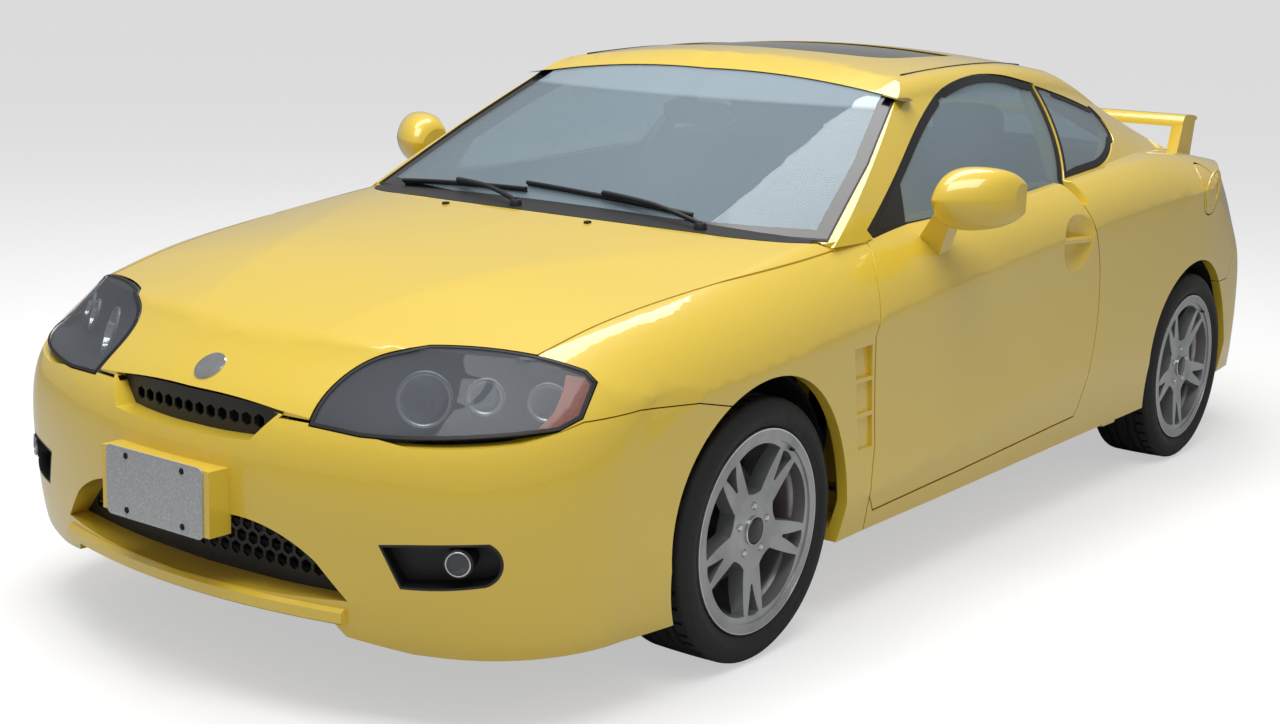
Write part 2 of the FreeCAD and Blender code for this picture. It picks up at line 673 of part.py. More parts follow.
def tyre():
    """hollow tyre about its own centre"""
    h = TREAD_HALF_WIDTH
    w = TYRE_HALF_WIDTH
    bead = RIM_HALF_WIDTH - 7 - SEAT_GAP
    flange = RIM_FLANGE + SEAT_GAP
    right = [(h - 20, TYRE_RADIUS - 1), (h - 3, TYRE_RADIUS - 3, 1), (h + 4, TYRE_RADIUS - 12), (w + 1, 268, 1),
             (RIM_HALF_WIDTH - 2, flange + 4), (bead, flange), (bead, RIM_RADIUS)]
    left = [(-bead, RIM_RADIUS), (-bead, flange), (-RIM_HALF_WIDTH + 2, flange + 4), (-w - 1, 268, 1),
            (-h - 4, TYRE_RADIUS - 12), (-h + 3, TYRE_RADIUS - 3, 1), (-h + 20, TYRE_RADIUS - 1), (0, TYRE_RADIUS, 1)]
    inner = [(bead - 14, RIM_RADIUS), (w - 13, 262, 1), (h - 10, TYRE_RADIUS - 22),
             (-h + 10, TYRE_RADIUS - 22), (-w + 13, 262, 1), (-bead + 14, RIM_RADIUS)]
    return wheel_profile(right + inner + left)


def rim():
    """barrel and ten-spoke face about its own centre, face towards +y"""
    f = RIM_HALF_WIDTH
    r = RIM_RADIUS - SEAT_GAP
    barrel = wheel_profile([(-f - 1, RIM_FLANGE), (-f - 1, r - 14), (-f + 8, r - 12), (-60, 196), (40, 196),
                            (f - 20, r - 14), (f + 1, r - 14), (f + 1, RIM_FLANGE), (f - 6, RIM_FLANGE),
                            (f - 6, RIM_FLANGE - 2), (f - 7, r - 1), (50, r - 2), (30, 204), (-50, 204),
                            (-f + 20, r - 2), (-f + 7, r - 1), (-f + 6, RIM_FLANGE)])
    face = wheel_profile([(38, 12), (38, 70), (46, 150), (60, 205), (88, 214), (94, 212), (86, 150, 1),
                          (80, 70), (82, 34), (82, 12)])
    windows = []
    for k in range(5):
        turn = 72.0 * k
        wide = window(WIDE_WINDOW)
        slim = window(SLIM_WINDOW)
        for shape in (wide, slim):
            shape.rotate(Vector(0, 0, 0), Vector(0, 1, 0), turn)
            windows.append(shape)
        hole = Part.makeCylinder(9.0, 80.0, Vector(0, 66, 0), Vector(0, 1, 0))
        hole.translate(Vector(57 * math.sin(math.radians(turn)), 0, 57 * math.cos(math.radians(turn))))
        windows.append(hole)
    face = face.cut(windows)
    hub = wheel_profile([(38, 0), (38, 72), (30, 72), (30, 0)])
    return barrel.fuse([face, hub])


def window(points):
    """hole through the rim face: (angle, radius) corners, thirds mark arc middles"""
    def place(p):
        a = math.radians(p[0])
        return Vector(p[1] * math.sin(a), 20, p[1] * math.cos(a))
    wire = outline(points, place)
    return Part.Face(wire).extrude(Vector(0, 100, 0))


def brake_disc(radius):
    return wheel_profile([(29.7, 0), (29.7, 72), (-8, 72), (-8, radius), (-32, radius), (-32, 66), (18, 62),
                          (18, 0)])


def at_wheel(shape, front, side):
    """place a wheel piece; side -1 is the left, where outboard is -y"""
    placed = shape.copy()
    if side < 0:
        placed.rotate(Vector(0, 0, 0), Vector(0, 0, 1), 180)
    placed.translate(Vector(0.0 if front else WHEELBASE, side * HALF_TRACK, AXLE_HEIGHT))
    return placed


def caliper(radius, angle):
    """caliper about the wheel centre, its middle at angle degrees from the top towards the rear"""
    block = wheel_profile([(-52, radius - 34), (-52, radius + 12), (22, radius + 12), (22, radius - 34),
                           (-3, radius - 34), (-3, radius + 3), (-37, radius + 3), (-37, radius - 34)])
    wedge = window([(-24, 60), (24, 60), (24, 240), (-24, 240)])
    wedge.translate(Vector(0, -90, 0))
    block = block.common(wedge)
    block.rotate(Vector(0, 0, 0), Vector(0, 1, 0), angle)
    return block


def knuckle():
    """steering knuckle about the wheel centre, outboard +y"""
    hub = Part.makeCylinder(44, 50, Vector(0, -85, 0), Vector(0, 1, 0))
    stub = Part.makeCylinder(28, 49.7, Vector(0, -32, 0), Vector(0, 1, 0))
    upright = box(-28, 28, KINGPIN_Y - HALF_TRACK - 44, KINGPIN_Y - HALF_TRACK - 4, -128, 155)
    arm = box(20, 150, -82, -62, -46, -22)
    plate = box(-30, 128, -84, -52.3, -40, 60)
    return hub.fuse([stub.fuse(box(-20, 20, -70, -20, -20, 20)), upright, arm, plate])


def front_suspension():
    """subframe, wishbones, dampers and steering rack, one fixed frame"""
    pin = KINGPIN_Y
    beam = box(-80, 80, -400, 400, 180, 240)
    pieces = [box(-130, 250, 330, 400, 176, 236), box(-130, 250, -400, -330, 176, 236)]
    pieces += [rod((190, -430, 282), (190, 430, 282), 30), box(140, 220, -390, -330, 226, 290)]
    pieces += [box(140, 220, 330, 390, 226, 290)]
    foot = AXLE_HEIGHT - 128
    head = AXLE_HEIGHT + 155
    for side in (-1, 1):
        pieces.append(rod((0, side * 340, 208), (0, side * (pin - 3), foot - 22), 13))
        pieces.append(rod((140, side * 360, 208), (0, side * (pin - 90), foot - 12), 13))
        pieces.append(rod((0, side * pin, foot - 28), (0, side * pin, foot - SEAT_GAP), KINGPIN_RADIUS))
        pieces.append(rod((0, side * 474.6, head + 36), (0, side * (pin - 3), head + 13), 12))
        pieces.append(rod((-60, side * 474.6, head + 36), (60, side * 474.6, head + 36), 16))
        pieces.append(rod((0, side * pin, head + SEAT_GAP), (0, side * pin, head + 20), KINGPIN_RADIUS))
        pieces.append(rod((0, side * 560, 176), (0, side * 524, 460), 22))
        pieces.append(rod((0, side * 541, 310), (0, side * 520, 580), 50))
        pieces.append(rod((0, side * 520, 560), (0, side * 520, STRUT_TOP - SEAT_GAP), 56))
    return beam.fuse(pieces)


def rear_suspension():
    """cross beam, trailing arms, springs and the fixed rear knuckles"""
    x = WHEELBASE
    inner = HALF_TRACK - 85
    axle = AXLE_HEIGHT
    pieces = []
    for side in (-1, 1):
        pieces.append(rod((x, side * (inner - 20), axle), (x, side * (HALF_TRACK - 33), axle), 44))
        pieces.append(rod((x, side * (HALF_TRACK - 34), axle), (x, side * (HALF_TRACK + 17.7), axle), 26))
        pieces.append(box(x - 30, x + 128, min(side * 666, side * 697.7), max(side * 666, side * 697.7), 266, 366))
        pieces.append(rod((x, side * inner, axle - 20), (x - 340, side * 560, 270), 24))
        pieces.append(rod((x - 340, side * 600, 270), (x - 340, side * 520, 270), 34))
        pieces.append(rod((x + 60, side * 640, 290), (x + 60, side * 120, 290), 18))
        pieces.append(rod((x, side * 655, axle), (x + 60, side * 640, 290), 22))
        pieces.append(rod((x, side * 575, 300), (x, side * 560, 600), 22))
        pieces.append(rod((x, side * 575, 380), (x, side * 560, 620), 48))
        pieces.append(rod((x, side * 560, 600), (x, side * 560, 658.0), 30))
        pieces.append(rod((x, side * 650, 300), (x, side * 565, 304), 30))
    beam = box(x + 10, x + 110, -400, 400, 262, 322)
    return beam.fuse(pieces)


def bulkhead():
    """wall between engine and cabin, open for the tunnel"""
    half = CABIN_HALF - SEAT_GAP
    wall = box(356, 380, -half, half, FLOOR_Z - 24, BULKHEAD_TOP)
    return wall.cut(box(350, 390, -126, 126, 200, 356))


def floor_pan():
    """cabin floor with its tunnel"""
    half = CABIN_HALF - SEAT_GAP
    front = 380 + SEAT_GAP
    back = 2126 - SEAT_GAP
    pan = box(front, back, -half, half, FLOOR_Z - 24, FLOOR_Z).cut(box(370, 2130, -126, 126, 200, FLOOR_Z + 1))
    tunnel = box(front, back, -150, 150, FLOOR_Z - 24, 380).cut(box(370, 2130, -126, 126, 200, 356))
    return pan.fuse(tunnel)


def boot_floor(space):
    """step behind the rear seat, boot floor, its well and the rear arches, kept inside the skin"""
    half = CABIN_HALF - SEAT_GAP
    arch_z = AXLE_HEIGHT + ARCH_CENTRE_RISE
    rise = box(2126, 2150, -half, half, FLOOR_Z - 24, 430)
    boot = box(2126, 3340, -half, half, 410, 430)
    well = Part.makeCylinder(250, 150, Vector(2900, 0, 262)).cut(Part.makeCylinder(240, 150, Vector(2900, 0, 272)))
    boot = boot.cut(Part.makeCylinder(240, 60, Vector(2900, 0, 390)))
    tail = box(3316, 3340, -half, half, 410, 700)
    whole = boot.fuse([rise, well, tail]).common(space)
    whole = whole.cut(all_wells(SEAT_GAP))
    liner = arch_liner(WHEELBASE, REAR_ARCH, WHEEL_WELL_INNER - LINER, CABIN_HALF + 125)
    wall = Part.makeCylinder(REAR_ARCH + LINER, LINER, Vector(WHEELBASE, -WHEEL_WELL_INNER, arch_z), Vector(0, 1, 0))
    wall = wall.common(box(2000, 3000, -1000, 0, 415, 1000))
    liner = liner.fuse(wall).common(space)
    return whole.fuse([liner, mirrored(liner)])


def front_structure(space):
    """rails, inner wings, strut towers, arch liners and cross members of the engine bay"""
    pieces = []
    back = 356 - SEAT_GAP
    for side in (-1, 1):
        y0, y1 = (392, 452) if side > 0 else (-452, -392)
        pieces.append(box(-720, back, y0, y1, 330, 430))
        w0, w1 = (446, 458) if side > 0 else (-458, -446)
        pieces.append(box(-420, back, w0, w1, 400, 712))
        r0, r1 = (446, 690) if side > 0 else (-690, -446)
        pieces.append(box(-420, back, r0, r1, STRUT_TOP, STRUT_TOP + 18))
        pieces.append(box(-640, back, side * 660 - 30, side * 660 + 30, STRUT_TOP + 18, 752))
        pieces.append(box(-560, -530, min(side * 380, side * 690), max(side * 380, side * 690), 400, 752))
        pieces.append(box(-440, 440, side * 640 - 60, side * 640 + 60, 700, 712).common(box(-440, back, -900, 900, 600, 800)))
    pieces.append(box(-760, -700, -600, 600, 330, 420))
    pieces.append(box(-660, -600, -452, 452, 560, 620))
    pieces.append(box(-660, -600, -60, 60, 400, 560))
    pieces.append(box(-640, -530, -452, -392, 560, 620))
    pieces.append(box(-640, -530, 392, 452, 560, 620))
    pieces.append(box(-720, -600, -60, 60, 380, 420))
    liner = arch_liner(0.0, FRONT_ARCH, 640, 800)
    whole = pieces[0].fuse(pieces[1:])
    whole = whole.cut(all_wells(SEAT_GAP))
    links = box(-30, 30, -690, -640, FRONT_ARCH + AXLE_HEIGHT + 4, STRUT_TOP)
    liner = liner.fuse(links.cut(wheel_wells(SEAT_GAP)[0])).common(box(-600, back, -900, 0, 300, 800))
    lamps = [headlamp_prism(FIXED_GAP), fog_prism(FIXED_GAP)]
    lamps += [mirrored(lamp) for lamp in lamps]
    return whole.fuse([liner, mirrored(liner)]).common(space).cut(lamps)


def engine_block():
    return box(-260, 130, -370, 330, 262, 690)


def radiator():
    return box(-599.7, -560.3, -370, 370, 250, 640)


def exhaust():
    route = [(150, 90, 196), (1200, 90, 186), (2100, 60, 176), (2900, 60, 190), (3175, 60, 225), (3240, 60, 290)]
    pieces = []
    for i in range(len(route) - 1):
        a = Vector(*route[i])
        b = Vector(*route[i + 1])
        step = (b - a) * (1.0 / (b - a).Length)
        first = a + step * (PIPE_END if i else 0.0)
        last = b - step * PIPE_END
        pieces.append(rod(first, last, PIPE_RADIUS))
        if i < len(route) - 2:
            pieces.append(rod(b - step * CLAMP_HALF, b + step * CLAMP_HALF, CLAMP_RADIUS))
    muffler = Part.makeCylinder(74, 460, Vector(3270, -260, 306), Vector(0, 1, 0))
    outer = rod((3270, -240, 290), (3270, -420, 290), 24)
    tail = Part.makeCylinder(TAIL_PIPE_RADIUS, TAIL_PIPE_LENGTH, Vector(*TAIL_PIPE), Vector(1, 0, 0))
    bore = Part.makeCylinder(TAIL_PIPE_RADIUS - 4, TAIL_PIPE_LENGTH, Vector(*TAIL_PIPE) + Vector(34, 0, 0), Vector(1, 0, 0))
    tail = tail.cut(bore)
    return pieces[0].fuse(pieces[1:] + [muffler, outer, tail])


def column_point(step):
    """point on the steering column, step mm from the wheel's middle towards the driver"""
    tilt = math.radians(COLUMN_TILT)
    x, y, z = STEERING_WHEEL
    return Vector(x + step * math.sin(tilt), y, z + step * math.cos(tilt))


def dashboard():
    profile = [(400, 640), (400, 850), (520, 905, 1), (640, 890), (700, 850), (690, 760), (620, 640)]
    board = side_prism(profile, -636, 636)
    console = side_prism([(600, 380.3), (600, 660), (700, 640), (860, 500, 1), (1500, 480), (1500, 380.3)], -100, 100)
    cowling = side_prism([(600, 850), (700, 910, 1), (760, 880), (740, 780), (620, 700)], -480, -260)
    axis = column_point(1.0) - column_point(0.0)
    bearing = Part.makeCylinder(38, 110, column_point(-250), axis)
    hole = Part.makeCylinder(24.3, 400, column_point(-195), axis)
    return board.fuse([console, cowling, bearing]).cut(hole)


def steering_wheel():
    ring = Part.makeTorus(180, 15)
    hub = Part.makeCylinder(55, 50, Vector(0, 0, -40))
    spokes = [box(-175, 175, -18, 18, -14, 2), box(-175, 0, -18, 18, -14, 2), box(0, 175, -18, 18, -14, 2)]
    lower = box(-18, 18, -175, 0, -14, 2)
    lower.rotate(Vector(0, 0, 0), Vector(0, 0, 1), -90)
    column = Part.makeCylinder(24, 160, Vector(0, 0, -190))
    wheel = ring.fuse([hub, column, lower] + spokes)
    wheel.rotate(Vector(0, 0, 0), Vector(0, 0, 1), 90)
    wheel.rotate(Vector(0, 0, 0), Vector(0, 1, 0), COLUMN_TILT)
    wheel.translate(Vector(*STEERING_WHEEL))
    return wheel


def seat(x, y, width):
    """front seat: cushion, backrest, head rest and runners"""
    half = width / 2
    cushion = side_prism([(x, 330), (x - 10, 430, 1), (x + 30, 480), (x + 300, 455, 1), (x + 480, 440),
                          (x + 500, 330)], y - half, y + half)
    back = side_prism([(x + 420, 440), (x + 560, 800, 1), (x + 620, 1040), (x + 690, 1060, 1), (x + 730, 1030),
                       (x + 690, 700, 1), (x + 560, 400)], y - half + 10, y + half - 10)
    head = side_prism([(x + 610, 1030), (x + 640, 1150), (x + 690, 1165, 1), (x + 725, 1150), (x + 735, 1030)],
                      y - 115, y + 115)
    runners = [box(x + 20, x + 470, y - 190, y - 150, FLOOR_Z + SEAT_GAP, 345)]
    runners.append(box(x + 20, x + 470, y + 150, y + 190, FLOOR_Z + SEAT_GAP, 345))
    return cushion.fuse([back, head] + runners)


def rear_seat():
    cushion = side_prism([(1960, FLOOR_Z + SEAT_GAP), (1950, 430, 1), (1980, 500), (2060, 480, 1), (2125, 470),
                          (2125, FLOOR_Z + SEAT_GAP)], -640, 640)
    cushion = cushion.cut(box(1700, 2200, -151, 151, 200, 380.3))
    back = side_prism([(2070, 470), (2130, 800, 1), (2180, 880), (2250, 900), (2235, 640, 1), (2190, 430.3),
                       (2125, 430.3)], -470, 470)
    wide = side_prism([(2070, 470), (2130, 800, 1), (2180, 880), (2230, 890), (2190, 700, 1), (2135, 480)], -640, 640)
    return cushion.fuse([back, wide])


def mirror_loft(inset, reach):
    """mirror housing, moved inwards by inset and longer at the back by reach"""
    wires = []
    for y, front, rear, bottom, top in MIRROR_ROWS:
        front += inset
        rear += reach
        bottom += inset
        top -= inset
        middle = (bottom + top) / 2
        bend = front + 0.2 * (rear - reach - front)
        lift = 0.1 * (top - bottom)
        a = Vector(rear, y, bottom)
        b = Vector(rear, y, top)
        c = Vector(front, y, middle)
        wires.append(Part.Wire([line(a, b), arc(b, Vector(bend, y, top - lift), c),
                                arc(c, Vector(bend, y, bottom + lift), a)]))
    return Part.makeLoft(wires, True, False)


def mirror_unit(low, upper):
    """left mirror: foot and housing with an open glass side"""
    shell = mirror_loft(0.0, 0.0)
    pocket = mirror_loft(MIRROR_EDGE, 60.0).common(plan_prism(MIRROR_POCKET, 900, 1100))
    pocket = pocket.common(box(700, 1000, MIRROR_ROWS[-1][0] + MIRROR_EDGE, MIRROR_ROWS[0][0] - MIRROR_EDGE, 900, 1100))
    wires = []
    for corners, z in ((MIRROR_FOOT_LOW, 850), (MIRROR_FOOT_HIGH, 985)):
        wires.append(outline(corners, lambda p, z=z: Vector(p[0], p[1], z)))
    foot = Part.makeLoft(wires, True, True)
    lifted = low.copy()
    lifted.translate(Vector(0, 0, SEAT_GAP))
    foot = foot.cut([lifted, upper])
    return shell.cut(pocket).fuse(foot.cut(pocket))


def spoiler(low):
    """hoop over the tail of the hatch"""
    blade = side_prism(SPOILER_BLADE, -SPOILER_HALF, SPOILER_HALF)
    leg = side_prism(SPOILER_LEG, -SPOILER_HALF, SPOILER_LEG_WIDTH - SPOILER_HALF)
    lifted = low.copy()
    lifted.translate(Vector(0, 0, SEAT_GAP))
    return blade.fuse([leg, mirrored(leg)]).cut(lifted)


def number_plate():
    return box(PLATE_FRONT, PLATE_FRONT + 3, -152.5, 152.5, 365, 517)


def plate_holder():
    return box(PLATE_FRONT + 3.3, NOSE_X + 12, -170, 170, 372, 512)


def roof_region(grow=0.0):
    half = [(900, 0), (900, 536), (1075, 536), (1500, 530, 1), (1880 - PANEL_GAP, 492), (1880 - PANEL_GAP, 0)]
    return plan_prism(whole_outline(half), 1000, 1500, grow)


def sunroof_region(grow=0.0):
    half = [(1183, 0), (1192, 180, 1), (1220, 290), (1252, 352, 1), (1330, 392), (1500, 404, 1), (1640, 400), (1640, 0)]
    return plan_prism(whole_outline(half), 1000, 1500, grow)


def screen_region(grow=0.0):
    """windscreen opening, no deeper than the frame round it"""
    half = [(0, 1266), (309, 1258, 1), (600, 1222), (683, 1070), (745, 910), (300, 915, 1), (0, 918)]
    opening = front_prism(whole_pair(half), 150, 1250, grow)
    return opening.cut(screen_block(WINDSCREEN, SCREEN_DEPTH, 5000))


def rear_window_region(grow=0.0):
    half = [(1960, 0), (1960, 400), (2400, 400, 1), (2840, 470), (2860, 0)]
    return plan_prism(whole_outline(half), 900, 1400, grow)


def side_region(points, side, grow=0.0):
    y0, y1 = (-1000, -330) if side < 0 else (330, 1000)
    return side_prism(points, y0, y1, grow)


def side_frame(rear, low, shell, behind, wells):
    """left quarter panel, sill, pillars and roof rail"""
    front_cut = side_prism(FENDER_REAR + [(0, 150), (0, 1010)], -1000, 1000)
    panel = rear.cut([front_cut, rear_bumper_prism(FIXED_GAP), hatch_prism(PANEL_GAP), tail_lamp_prisms(FIXED_GAP)[1]])
    sill = low.common(box(400, 2182, -1000, -CABIN_HALF, 150, 300)).cut(front_cut)
    inner = SEAT_GAP - CABIN_HALF
    post = box(380.3, 440, inner, -640, FLOOR_Z + SEAT_GAP, 880)
    post = post.fuse([box(402, 530, -714, -640, 860, 900), box(448, 530, -714, -640, 860, 925),
                      box(400, 520, -720, -640, 236, 249)])
    jamb = low.common(box(1800, 2170, -1000, -CABIN_HALF, 250, 900))
    lifted = low.copy()
    lifted.translate(Vector(0, 0, PANEL_GAP))
    frame = shell.cut([roof_region(SEAT_GAP), hatch_prism(PANEL_GAP), hood_prism(PANEL_GAP),
                       box(140, 430, -720, 10, 840, 1000), lifted.common(side_region(DOOR_OUTLINE, -1, PANEL_GAP))])
    pads = [box(x - 45, x + 45, -818, -782, JACK_PAD_Z, 260) for x in JACK_X]
    lower = panel.fuse([sill, jamb] + pads).cut([side_region(DOOR_OUTLINE, -1, PANEL_GAP)] + wells)
    cuts = [side_region(DOOR_GLASS_OUTLINE, -1, PANEL_GAP), side_region(QUARTER_GLASS_OUTLINE, -1, SEAT_GAP),
            screen_region(SEAT_GAP)]
    pillar = behind.common(side_region(B_PILLAR_OUTLINE, -1))
    return lower.fuse(frame).cut(cuts).fuse([pillar, post])


def lamp_nodes(low):
    """headlamp tubs and covers, fog lamps"""
    nodes = {}
    aim = Vector(*HEADLAMP_AXIS)
    aim.normalize()
    step = low.copy()
    step.translate(aim * LENS_THICKNESS)
    nodes["headlamp_lenses"] = both(low.common(headlamp_prism()).cut(step))
    tub = low.common(headlamp_prism(0.0, -260, HEADLAMP_DEPTH)).common(step)
    tub = tub.cut(headlamp_prism(-4.0, -260, HEADLAMP_DEPTH - 4.0))
    tub.translate(aim * SEAT_GAP)
    nodes["headlamps"] = both(tub)
    fog = low.common(fog_prism(-SEAT_GAP, -160, 90)).cut(fog_prism(-5.0, -160, 50))
    inward = Vector(*FOG_AXIS)
    bulb = Part.makeCylinder(FOG_LAMP_RADIUS, 80, Vector(*FOG_LAMP) + inward * 80, inward * -1)
    nodes["fog_lamps"] = both(fog.fuse(bulb.common(low.common(fog_prism(-SEAT_GAP, -160, 90)))))
    return nodes


def body_panels():
    """every outer panel and pane, as a dictionary of shapes"""
    nodes = {}
    low = lower_body()
    left = box(-1100, 3600, -1000, 0, 100, 1400)
    whole = upper_body()
    upper = whole.common(left)
    low_left = low.common(left)
    wells = wheel_wells()
    inner = upper_body(ROOF_THICKNESS)
    under = plan_section((100.0,) + PLAN_SECTIONS[1][1:], PANEL_THICKNESS)
    under = Part.Face(under).extrude(Vector(0, 0, 200)).common(box(-1100, 3600, -CABIN_HALF, 10, 100, 300))
    skin = low_left.cut(lower_body(PANEL_THICKNESS)).cut(inner).cut([under] + wells)
    shell = whole.cut(inner).common(left).cut(low_left)
    pane = upper_body(GLASS_SET_IN).common(left).cut(upper_body(GLASS_SET_IN + GLASS_THICKNESS))
    slot = upper_body(GLASS_SET_IN - SEAT_GAP).common(side_prism(DOOR_OUTLINE, -1000, -DOOR_INNER))
    slot = slot.cut(upper_body(GLASS_SET_IN + GLASS_THICKNESS + SEAT_GAP))
    front = skin.common(box(-1100, 640, -1000, 0, 100, 1100))
    rear = skin.common(box(330, 3600, -1000, 0, 100, 1100))

    nodes["front_bumper"] = front_bumper(front, low_left)
    nodes["grilles"] = grilles()
    nodes["rear_bumper"] = rear_bumper(rear)
    nodes["hood"] = hood(front)
    cabin = upper.copy()
    cabin.translate(Vector(-3 * SEAT_GAP, 0, -SEAT_GAP))
    cabin = cabin.fuse(upper)
    nodes["cowl"] = cowl(front, cabin)
    nodes["fender_left"] = fender(front, cabin)
    nodes["fender_right"] = mirrored(nodes["fender_left"])
    nodes.update(lamp_nodes(low_left))

    nodes["door_left"] = door_shell(skin, low_left).cut(slot)
    nodes["door_right"] = mirrored(nodes["door_left"])
    glass = pane.common(side_region(DOOR_GLASS_OUTLINE, -1))
    nodes["door_glass_left"] = glass
    nodes["door_glass_right"] = mirrored(glass)
    nodes["quarter_glasses"] = both(pane.common(side_region(QUARTER_GLASS_OUTLINE, -1)))
    for name, region in (("windscreen", screen_region()), ("sunroof_glass", sunroof_region(-SEAT_GAP)),
                         ("hatch_glass", rear_window_region(-SEAT_GAP))):
        half = pane.common(region)
        nodes[name] = half.fuse(mirrored(half))
    half = shell.common(roof_region()).cut([sunroof_region(), screen_region(SEAT_GAP)])
    nodes["roof_panel"] = half.fuse(mirrored(half))

    half = rear.common(hatch_prism()).cut(tail_lamp_prisms(PANEL_GAP)[1])
    half = half.fuse(shell.common(hatch_prism())).cut(rear_window_region())
    nodes["hatch"] = half.fuse(mirrored(half))
    nodes["tail_lamps"] = both(rear.common(tail_lamp_prisms()[1]))

    behind = upper_body(GLASS_SET_IN + GLASS_THICKNESS + PANEL_GAP).common(left).cut([inner, low_left])
    side = side_frame(rear, low_left, shell, behind, wells)
    nodes["side_right"] = mirrored(side)
    cup = low_left.common(fuel_cylinder(FUEL_RADIUS + 14, FUEL_CUP_FLOOR))
    cup = cup.cut(fuel_cylinder(FUEL_RADIUS + PANEL_GAP, FUEL_CUP_FLOOR + 6))
    nodes["side_left"] = side.cut(fuel_cylinder(FUEL_RADIUS + PANEL_GAP)).fuse(cup)
    inside = low_left.copy()
    inside.translate(Vector(0, FUEL_LID_THICKNESS, 0))
    nodes["fuel_lid"] = low_left.common(fuel_cylinder(FUEL_RADIUS)).cut(inside)
    nodes["spoiler"] = spoiler(low)
    nodes["mirror_left"] = mirror_unit(low_left, upper)
    nodes["mirror_right"] = mirrored(nodes["mirror_left"])
    space = lower_body(PANEL_THICKNESS + SEAT_GAP)
    nodes["boot_floor"] = boot_floor(space)
    nodes["front_structure"] = front_structure(space)
    return nodes


def wheel_nodes():
    nodes = {}
    tyre_shape = tyre()
    rim_shape = rim()
    disc = {True: brake_disc(142.0), False: brake_disc(134.0)}
    for front in (True, False):
        for side in (-1, 1):
            name = ("front" if front else "rear") + ("_left" if side < 0 else "_right")
            nodes["tyre_" + name] = at_wheel(tyre_shape, front, side)
            nodes["rim_" + name] = at_wheel(rim_shape, front, side)
            nodes["disc_" + name] = at_wheel(disc[front], front, side)
            turn = 90 if side > 0 else -90
            if front:
                nodes["knuckle_" + ("left" if side < 0 else "right")] = at_wheel(knuckle(), front, side)
                nodes["caliper_" + name] = at_wheel(caliper(142.0, turn), front, side)
    nodes["rear_calipers"] = both(at_wheel(caliper(134.0, 90), False, 1))
    return nodes


def cabin_nodes():
    nodes = {}
    nodes["dashboard"] = dashboard()
    nodes["steering_wheel"] = steering_wheel()
    nodes["front_seats"] = both(seat(1130, 375, 440))
    nodes["rear_seat"] = rear_seat()
    return nodes


def other_nodes():
    nodes = {}
    nodes["front_suspension"] = front_suspension()
    nodes["rear_suspension"] = rear_suspension()
    nodes["bulkhead"] = bulkhead()
    nodes["floor_pan"] = floor_pan()
    nodes["engine_block"] = engine_block()
    nodes["radiator"] = radiator()
    nodes["exhaust"] = exhaust()
    nodes["number_plate"] = number_plate()
    return nodes


def main():
    os.makedirs("parts", exist_ok=True)
    nodes = body_panels()
    nodes.update(wheel_nodes())
    nodes.update(cabin_nodes())
    nodes.update(other_nodes())
    for name in sorted(nodes):
        shape = nodes[name].copy()
        shape.translate(Vector(-middle_x(), 0, 0))
        if not shape.isValid() or not shape.Solids:
            print("bad shape", name, shape.isValid(), len(shape.Solids))
        shape.exportStep("parts/%s.step" % name)
        bounds = shape.BoundBox
        print("%-22s solids %d faces %d volume %.0f cm3 x %.0f %.0f y %.0f %.0f z %.0f %.0f" % (
            name, len(shape.Solids), len(shape.Faces), shape.Volume / 1000.0, bounds.XMin, bounds.XMax,
            bounds.YMin, bounds.YMax, bounds.ZMin, bounds.ZMax))


if __name__ == "__main__":
    main()
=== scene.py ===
"""Looks of a two-door coupe car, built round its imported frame.

Lengths are metres. Places that are given in millimetres count from the front axle, as the
car's own drawings do: x rearward, y to the car's right, z up from the ground.
"""
import json
import math
import bmesh
import bpy
from bpy.props import FloatProperty, FloatVectorProperty, PointerProperty
from mathutils import Matrix, Vector
from mathutils.bvhtree import BVHTree


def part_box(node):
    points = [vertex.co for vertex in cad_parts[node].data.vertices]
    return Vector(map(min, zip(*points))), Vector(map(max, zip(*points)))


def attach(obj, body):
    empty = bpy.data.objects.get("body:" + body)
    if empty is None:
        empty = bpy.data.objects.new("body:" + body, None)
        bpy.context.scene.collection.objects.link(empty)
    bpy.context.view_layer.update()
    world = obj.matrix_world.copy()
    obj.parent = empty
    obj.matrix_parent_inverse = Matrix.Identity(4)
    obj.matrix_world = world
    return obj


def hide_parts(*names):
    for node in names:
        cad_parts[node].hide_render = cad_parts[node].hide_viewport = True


bl_info = {
    "name": "Two-door coupe",
    "version": (1, 0, 0),
    "blender": (4, 5, 0),
    "location": "3D Viewport > Sidebar > Coupe",
    "description": "Finishes and trim of a two-door coupe car",
    "category": "Object",
}

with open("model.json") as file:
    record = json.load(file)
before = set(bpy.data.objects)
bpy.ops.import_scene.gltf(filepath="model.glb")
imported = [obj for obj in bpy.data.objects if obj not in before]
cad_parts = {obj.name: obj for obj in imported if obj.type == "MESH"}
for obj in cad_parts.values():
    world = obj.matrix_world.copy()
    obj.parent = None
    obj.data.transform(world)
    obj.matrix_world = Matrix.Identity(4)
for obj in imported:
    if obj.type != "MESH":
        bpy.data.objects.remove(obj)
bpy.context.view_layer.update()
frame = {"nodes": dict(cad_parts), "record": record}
NODES = frame["nodes"]
WHEELS = ("front_left", "front_right", "rear_left", "rear_right")
MM = 0.001
FRONT_AXLE_X = sum(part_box("tyre_front_left")[i].x for i in (0, 1)) / 2.0
BODY_OF = {}
for body_name, members in frame["record"]["behaviour"]["bodies"].items():
    for member in members:
        BODY_OF[member] = body_name

# Camera: place in millimetres from the front axle, heading, fall and roll in degrees
CAMERA_PLACE = (-3448.6, -3062.8, 1542.3)
CAMERA_HEADING = 36.627
CAMERA_FALL = 11.834
CAMERA_ROLL = 1.89
CAMERA_FOCAL_PIXELS = 1898.3
IMAGE_WIDTH = 1280
SENSOR_WIDTH = 36.0


